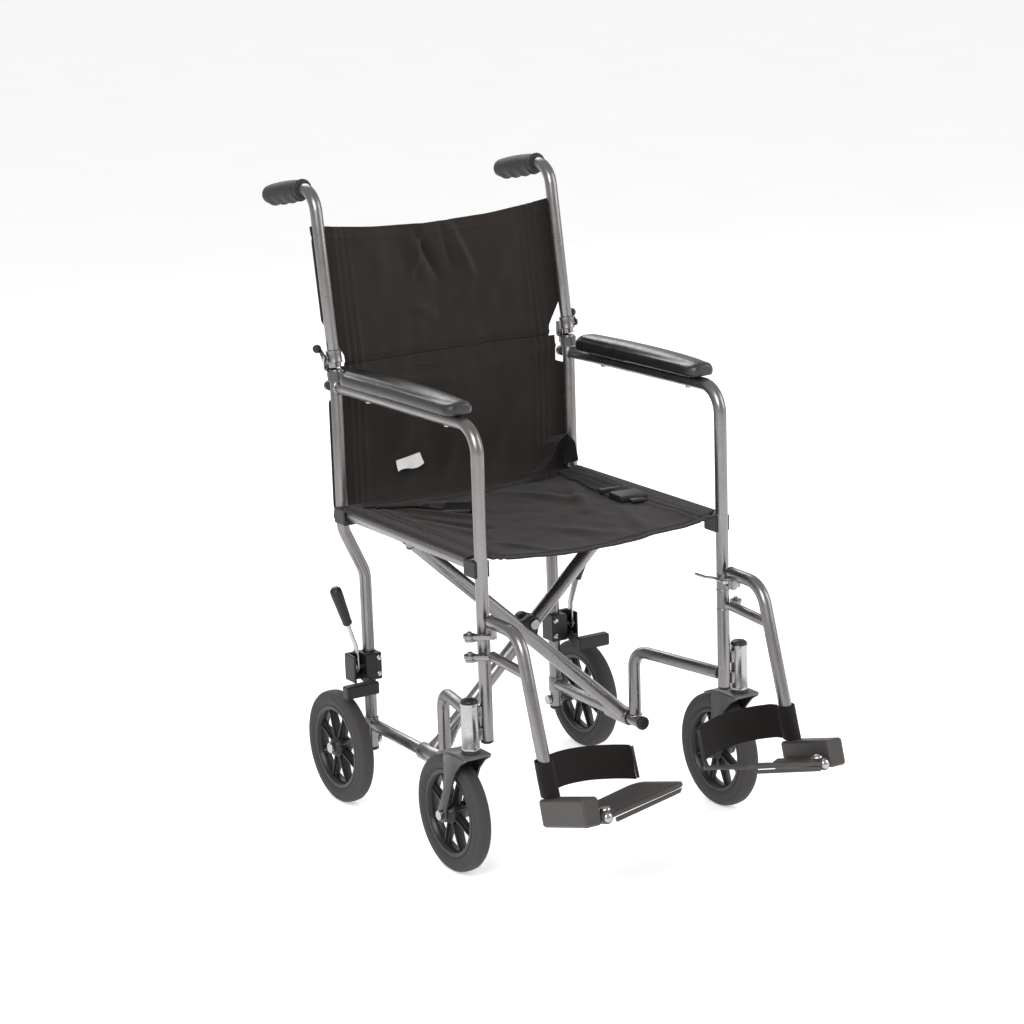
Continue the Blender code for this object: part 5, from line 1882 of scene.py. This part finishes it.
    def build_seat(self) -> None:
        """Builds the seat sling with its seams and hands it over."""
        full = POST_X + 0.008
        front, rear = FRONT_Y - 0.003, CANE_Y - 0.016
        clear = (FRONT_Y + 0.0125, CANE_Y - 0.013)

        def place(u: float, v: float) -> Vector:
            """A point of the sling, cut in at its corners round the posts."""
            y = front + v * (rear - front)
            x = (2 * u - 1) * full
            notch = max(0.0, 1 - max(0.0, y - clear[0]) / 0.012)
            notch = max(notch, max(0.0, 1 - max(0.0, clear[1] - y) / 0.012))
            if abs(x) > 0.17:
                x = (
                    0.17 + (abs(x) - 0.17) * (1 - notch * (full - 0.194) / (full - 0.17))
                ) * (1 if x > 0 else -1)
            point = self.seat_point(x, y, SEAT_FOLDS)
            for edge in (y - front, rear - y):
                point.z += 0.0009 * exp(
                    -(((edge - 0.003) / 0.003) ** 2)
                ) - 0.0008 * exp(-(((edge - 0.014) / 0.0022) ** 2))
            return point

        size = (2 * full, rear - front)
        cloth = paint(thicken(woven_sheet(150, 136, size, place), CLOTH_THICKNESS), self.finishes.nylon)
        rows, step = [], STITCH
        for seam in SEAT_STITCHES:
            points = [
                self.seat_point(
                    seam, front + 0.03 + k * step, SEAT_FOLDS
                ) for k in range(int((rear - front - 0.06) / step))
            ]
            rows.append(self.sewn([p + Vector((0, 0, 0.0015)) for p in points], (0, 0, 1)))
        for inset in (0.011, 0.017):
            for y in (front + inset, rear - inset):
                points = [
                    self.seat_point(-0.172 + k * step, y, SEAT_FOLDS) for k in range(int(0.344 / step))
                ]
                rows.append(self.sewn([p + Vector((0, 0, 0.0015)) for p in points], (0, 0, 1)))
        seams = weld("seat_cloth_stitching", rows)
        cloth = weld("seat_sling_cloth", [cloth])
        for piece in (cloth, seams):
            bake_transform(piece)
        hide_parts("seat_sling")
        LOG.info("%s bends between the seat rails", cloth.name)

    def build_label(self) -> None:
        """Sews a small blank label into the lower back's seam, curling forward."""
        def place(u: float, v: float) -> Vector:
            """A point of the curled label, sewn on along its upper edge."""
            x, z = -0.104 + 0.047 * u, 0.5115 + 0.0165 * v + 0.005 * u + 0.003 * sin(
                2.2 * pi * u
            ) * (1 - v)
            out = 0.0024 + 0.0085 * (1 - v) ** 1.4 + 0.005 * sin(1.6 * pi * u) ** 2 * (1 - v)
            return self.back_point(x, z, LOWER_FOLDS, 0.0) - Vector((0, out, 0))

        label = paint(thicken(woven_sheet(24, 12, (0.05, 0.021), place), 0.0005), self.finishes.label)
        label = weld("blank_sewn_label", [label])
        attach(label, "right_frame")
        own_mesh(label)

    def build(self) -> None:
        """Builds the back, the seat and the label."""
        self.build_back()
        self.build_seat()
        self.build_label()


@dataclass
class LapBelts:
    """The two lap strap halves that lie on the seat, with their buckle ends."""

    finishes: Finishes
    width: float = 0.038
    raised: float = 0.0034

    def half(self, side: Side, end: Vector, upholstery: Upholstery) -> tuple[Piece, Piece, float]:
        """One strap half with its buckle end.

        Args:
            side: The side that it is sewn to.
            end: Where its free end lies.
            upholstery: The seat under it.

        Returns:
            The strap, its buckle half and the strap's length.
        """
        start = Vector((side.value * (POST_X - 0.024), CANE_Y - 0.03, 0))
        run = end - start
        across = Vector((run.y, -run.x, 0)).normalized()

        def place(u: float, v: float) -> Vector:
            """A point of the strap on the seat."""
            point = start + run * u + across * ((v - 0.5) * self.width)
            point.z = upholstery.seat_point(
                point.x, point.y, SEAT_FOLDS
            ).z + self.raised + 0.0016 * sin(pi * u) ** 2
            return point

        strap = paint(
            thicken(woven_sheet(60, 12, (run.length, self.width), place), 0.0016), self.finishes.webbing
        )
        along = run.normalized()
        turn = Matrix((along, -across, Vector((0, 0, 1)))).transposed().to_4x4()
        shell = block((-0.012, -0.0235, -0.004), (0.03, 0.0235, 0.0072), 0.0026)
        tongue = block((0.028, -0.012, -0.0012), (0.046, 0.012, 0.004), 0.0012)
        slide = block((-0.046, -0.024, -0.0022), (-0.036, 0.024, 0.005), 0.0014)
        parts = [paint(soften(part, 0.0005), self.finishes.plastic) for part in (shell, tongue, slide)]
        for part in parts:
            part.data.transform(Matrix.Translation(place(0.97, 0.5)) @ turn)
        return weld(
            f"lap_strap_webbing_{side.tag}", [strap]
        ), weld(f"lap_strap_buckle_{side.tag}", parts), run.length

    def slack(self) -> None:
        """Builds the left strap's slack, which stands up in a fold in the seat's rear corner."""
        knots = [
            (0.198, -0.018, 0.485), (0.19, -0.022, 0.516), (0.172, -0.027, 0.536),
            (0.152, -0.032, 0.526)
        ]
        knots += [(0.138, -0.036, 0.503), (0.121, -0.041, 0.489), (0.096, -0.046, 0.486)]
        route = [Vector((x, CANE_Y + y, z)) for x, y, z in knots]
        length = sum((b - a).length for a, b in zip(route, route[1:]))
        across = Vector((0.1, -0.82, 0.26)).normalized()

        def place(u: float, v: float) -> Vector:
            """A point of the standing fold."""
            spot = u * (len(route) - 1)
            index = min(len(route) - 2, int(spot))
            point = route[index].lerp(route[index + 1], spot - index)
            return point + across * ((v - 0.5) * self.width * 1.02) + Vector(
                (0, 0, 0.003 * sin(3 * pi * u) * (v - 0.5))
            )

        cloth = woven_sheet(64, 10, (length, self.width), place)
        apply_modifier(cloth, "SMOOTH", factor=0.5, iterations=3)
        cloth = weld("lap_strap_slack_l", [paint(thicken(cloth, 0.0016), self.finishes.webbing)])
        hand_over(cloth, "brace_a", "webbing")

    def build(self, upholstery: Upholstery) -> None:
        """Builds both straps where they were dropped on the seat and hands them over."""
        self.slack()
        for side, end, body in (
            (Side.LEFT, Vector((0.166, CANE_Y - 0.225, 0)), "brace_a"),
            (Side.RIGHT, Vector((-0.075, CANE_Y - 0.11, 0)), "brace_b"),
        ):
            cloth, clip, length = self.half(side, end, upholstery)
            hand_over(cloth, body, "webbing", f"lap_belt_{side.tag}")
            hand_over(clip, body, "black_plastic")


# ---------------------------------------------------------------- carried-over CAD pieces
class Fittings:
    """Small fittings that keep their CAD solids, with their edges rounded and a finish."""

    def __init__(self, finishes: Finishes) -> None:
        """Lists each fitting's finish and edge radius."""
        self.rows = {
            "back_hinge": (finishes.dark, 0.0007),
            "back_release": (finishes.plastic, 0.0004),
            "brake_bracket": (finishes.plastic, 0.001),
            "brake_shoe": (finishes.plastic, 0.001),
            "seat_saddle_front": (finishes.plastic, 0.001),
            "seat_saddle_rear": (finishes.plastic, 0.001),
            "footrest_block": (finishes.plate, 0.0016),
            "footrest_release": (finishes.bright, 0.0005),
            "front_axle": (finishes.bright, 0.0006),
            "rear_axle": (finishes.bright, 0.0006),
            "brace_bolt": (finishes.bright, 0.0006),
        }

    def build(self) -> None:
        """Dresses every CAD node that is still shown."""
        for name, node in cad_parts.items():
            kind = name[:-2] if name[-2:] in ("_r", "_l") else name
            if kind not in self.rows:
                continue
            finish, edge = self.rows[kind]
            paint(node, finish)
            welded = node.modifiers.new("merge", "WELD")
            welded.merge_threshold = 0.00002
            rounded = node.modifiers.new("rounded edges", "BEVEL")
            rounded.width, rounded.segments = edge, 2
            rounded.limit_method, rounded.angle_limit = "ANGLE", radians(35)
            LOG.info("%s dressed", name)


# ---------------------------------------------------------------- studio
class Studio:
    """Pale floor, soft light and the camera."""

    azimuth = radians(-31.28)
    elevation = radians(14.15)
    roll = radians(-1.89)
    lens = 104.97
    place = Vector((-2.293, -3.6826, 1.576))

    def camera(self) -> None:
        """Sets up the camera in front of the chair's right side."""
        a, e, r = self.azimuth, self.elevation, self.roll
        back = Vector((sin(a) * cos(e), -cos(a) * cos(e), sin(e)))
        right = Vector((cos(a), sin(a), 0))
        up = back.cross(right)
        across = cos(r) * right + sin(r) * up
        rise = -sin(r) * right + cos(r) * up
        clear_hands()
        bpy.ops.object.camera_add()
        camera = bpy.context.object
        camera.matrix_world = Matrix.Translation(self.place) @ Matrix(
            (across, rise, back)
        ).transposed().to_4x4()
        camera.data.lens, camera.data.sensor_width, camera.data.clip_end = self.lens, 36.0, 60.0
        bpy.context.scene.camera = camera

    def light(self, name: str, place: Point, size: float, power: float) -> None:
        """Hangs a square softbox and aims it at the chair's middle.

        Args:
            name: The lamp's name.
            place: Where it hangs.
            size: Its side.
            power: Its power in watts.
        """
        clear_hands()
        aim = Vector((0, 0, 0.45)) - Vector(place)
        bpy.ops.object.light_add(
            type="AREA", location=place, rotation=tuple(aim.to_track_quat("-Z", "Y").to_euler())
        )
        lamp = bpy.context.object
        lamp.name, lamp.data.size, lamp.data.energy = name, size, power

    def floor(self) -> None:
        """A wide flat pale floor that glows faintly."""
        clear_hands()
        bpy.ops.mesh.primitive_plane_add(size=40, location=(0, 0, -0.0004))
        floor = just_added()
        floor.name = "studio_floor"
        coat = Coat("studio_floor_paint")
        tone = coat.cloudy(coat.place(), 3, 2)
        base = coat.blend(coat.spread(tone, 0, 1), (0.9, 0.9, 0.9, 1), (0.93, 0.93, 0.93, 1))
        paint(
            floor,
            coat.finish(Base_Color=base, Roughness=0.9, Emission_Color=(1, 1, 1, 1), Emission_Strength=0.42)
        )

    def build(self) -> None:
        """Builds the world, lights, floor and camera."""
        world = bpy.data.worlds.new("studio_air")
        bpy.context.scene.world = world
        world.use_nodes = True
        sky = world.node_tree.nodes["Background"].inputs
        sky[0].default_value, sky[1].default_value = (1.0, 1.0, 1.0, 1.0), 0.55
        self.light("key_softbox", (-2.6, -2.4, 3.0), 2.2, 130.0)
        self.light("fill_softbox", (3.0, -2.2, 2.2), 2.6, 60.0)
        self.light("rear_softbox", (0.6, 3.2, 2.8), 2.4, 70.0)
        self.floor()
        self.camera()
        bpy.context.scene.view_settings.view_transform = "Standard"


def main() -> None:
    """Builds the chair piece by piece, then the studio."""
    logging.basicConfig(level=logging.INFO, format="%(message)s")
    finishes = Finishes()
    SideFrame(finishes).build()
    FoldingBack(finishes).build()
    Wheels(finishes).build(front_hub=0.0174, rear_hub=0.015)
    CasterForks(finishes).build()
    WheelLocks(finishes).build()
    Footrests(finishes).build()
    CrossBrace(finishes).build()
    ArmPads(finishes).build()
    upholstery = Upholstery(finishes)
    upholstery.build()
    LapBelts(finishes).build(upholstery)
    Fittings(finishes).build()
    Studio().build()


if __name__ == "__main__":
    main()
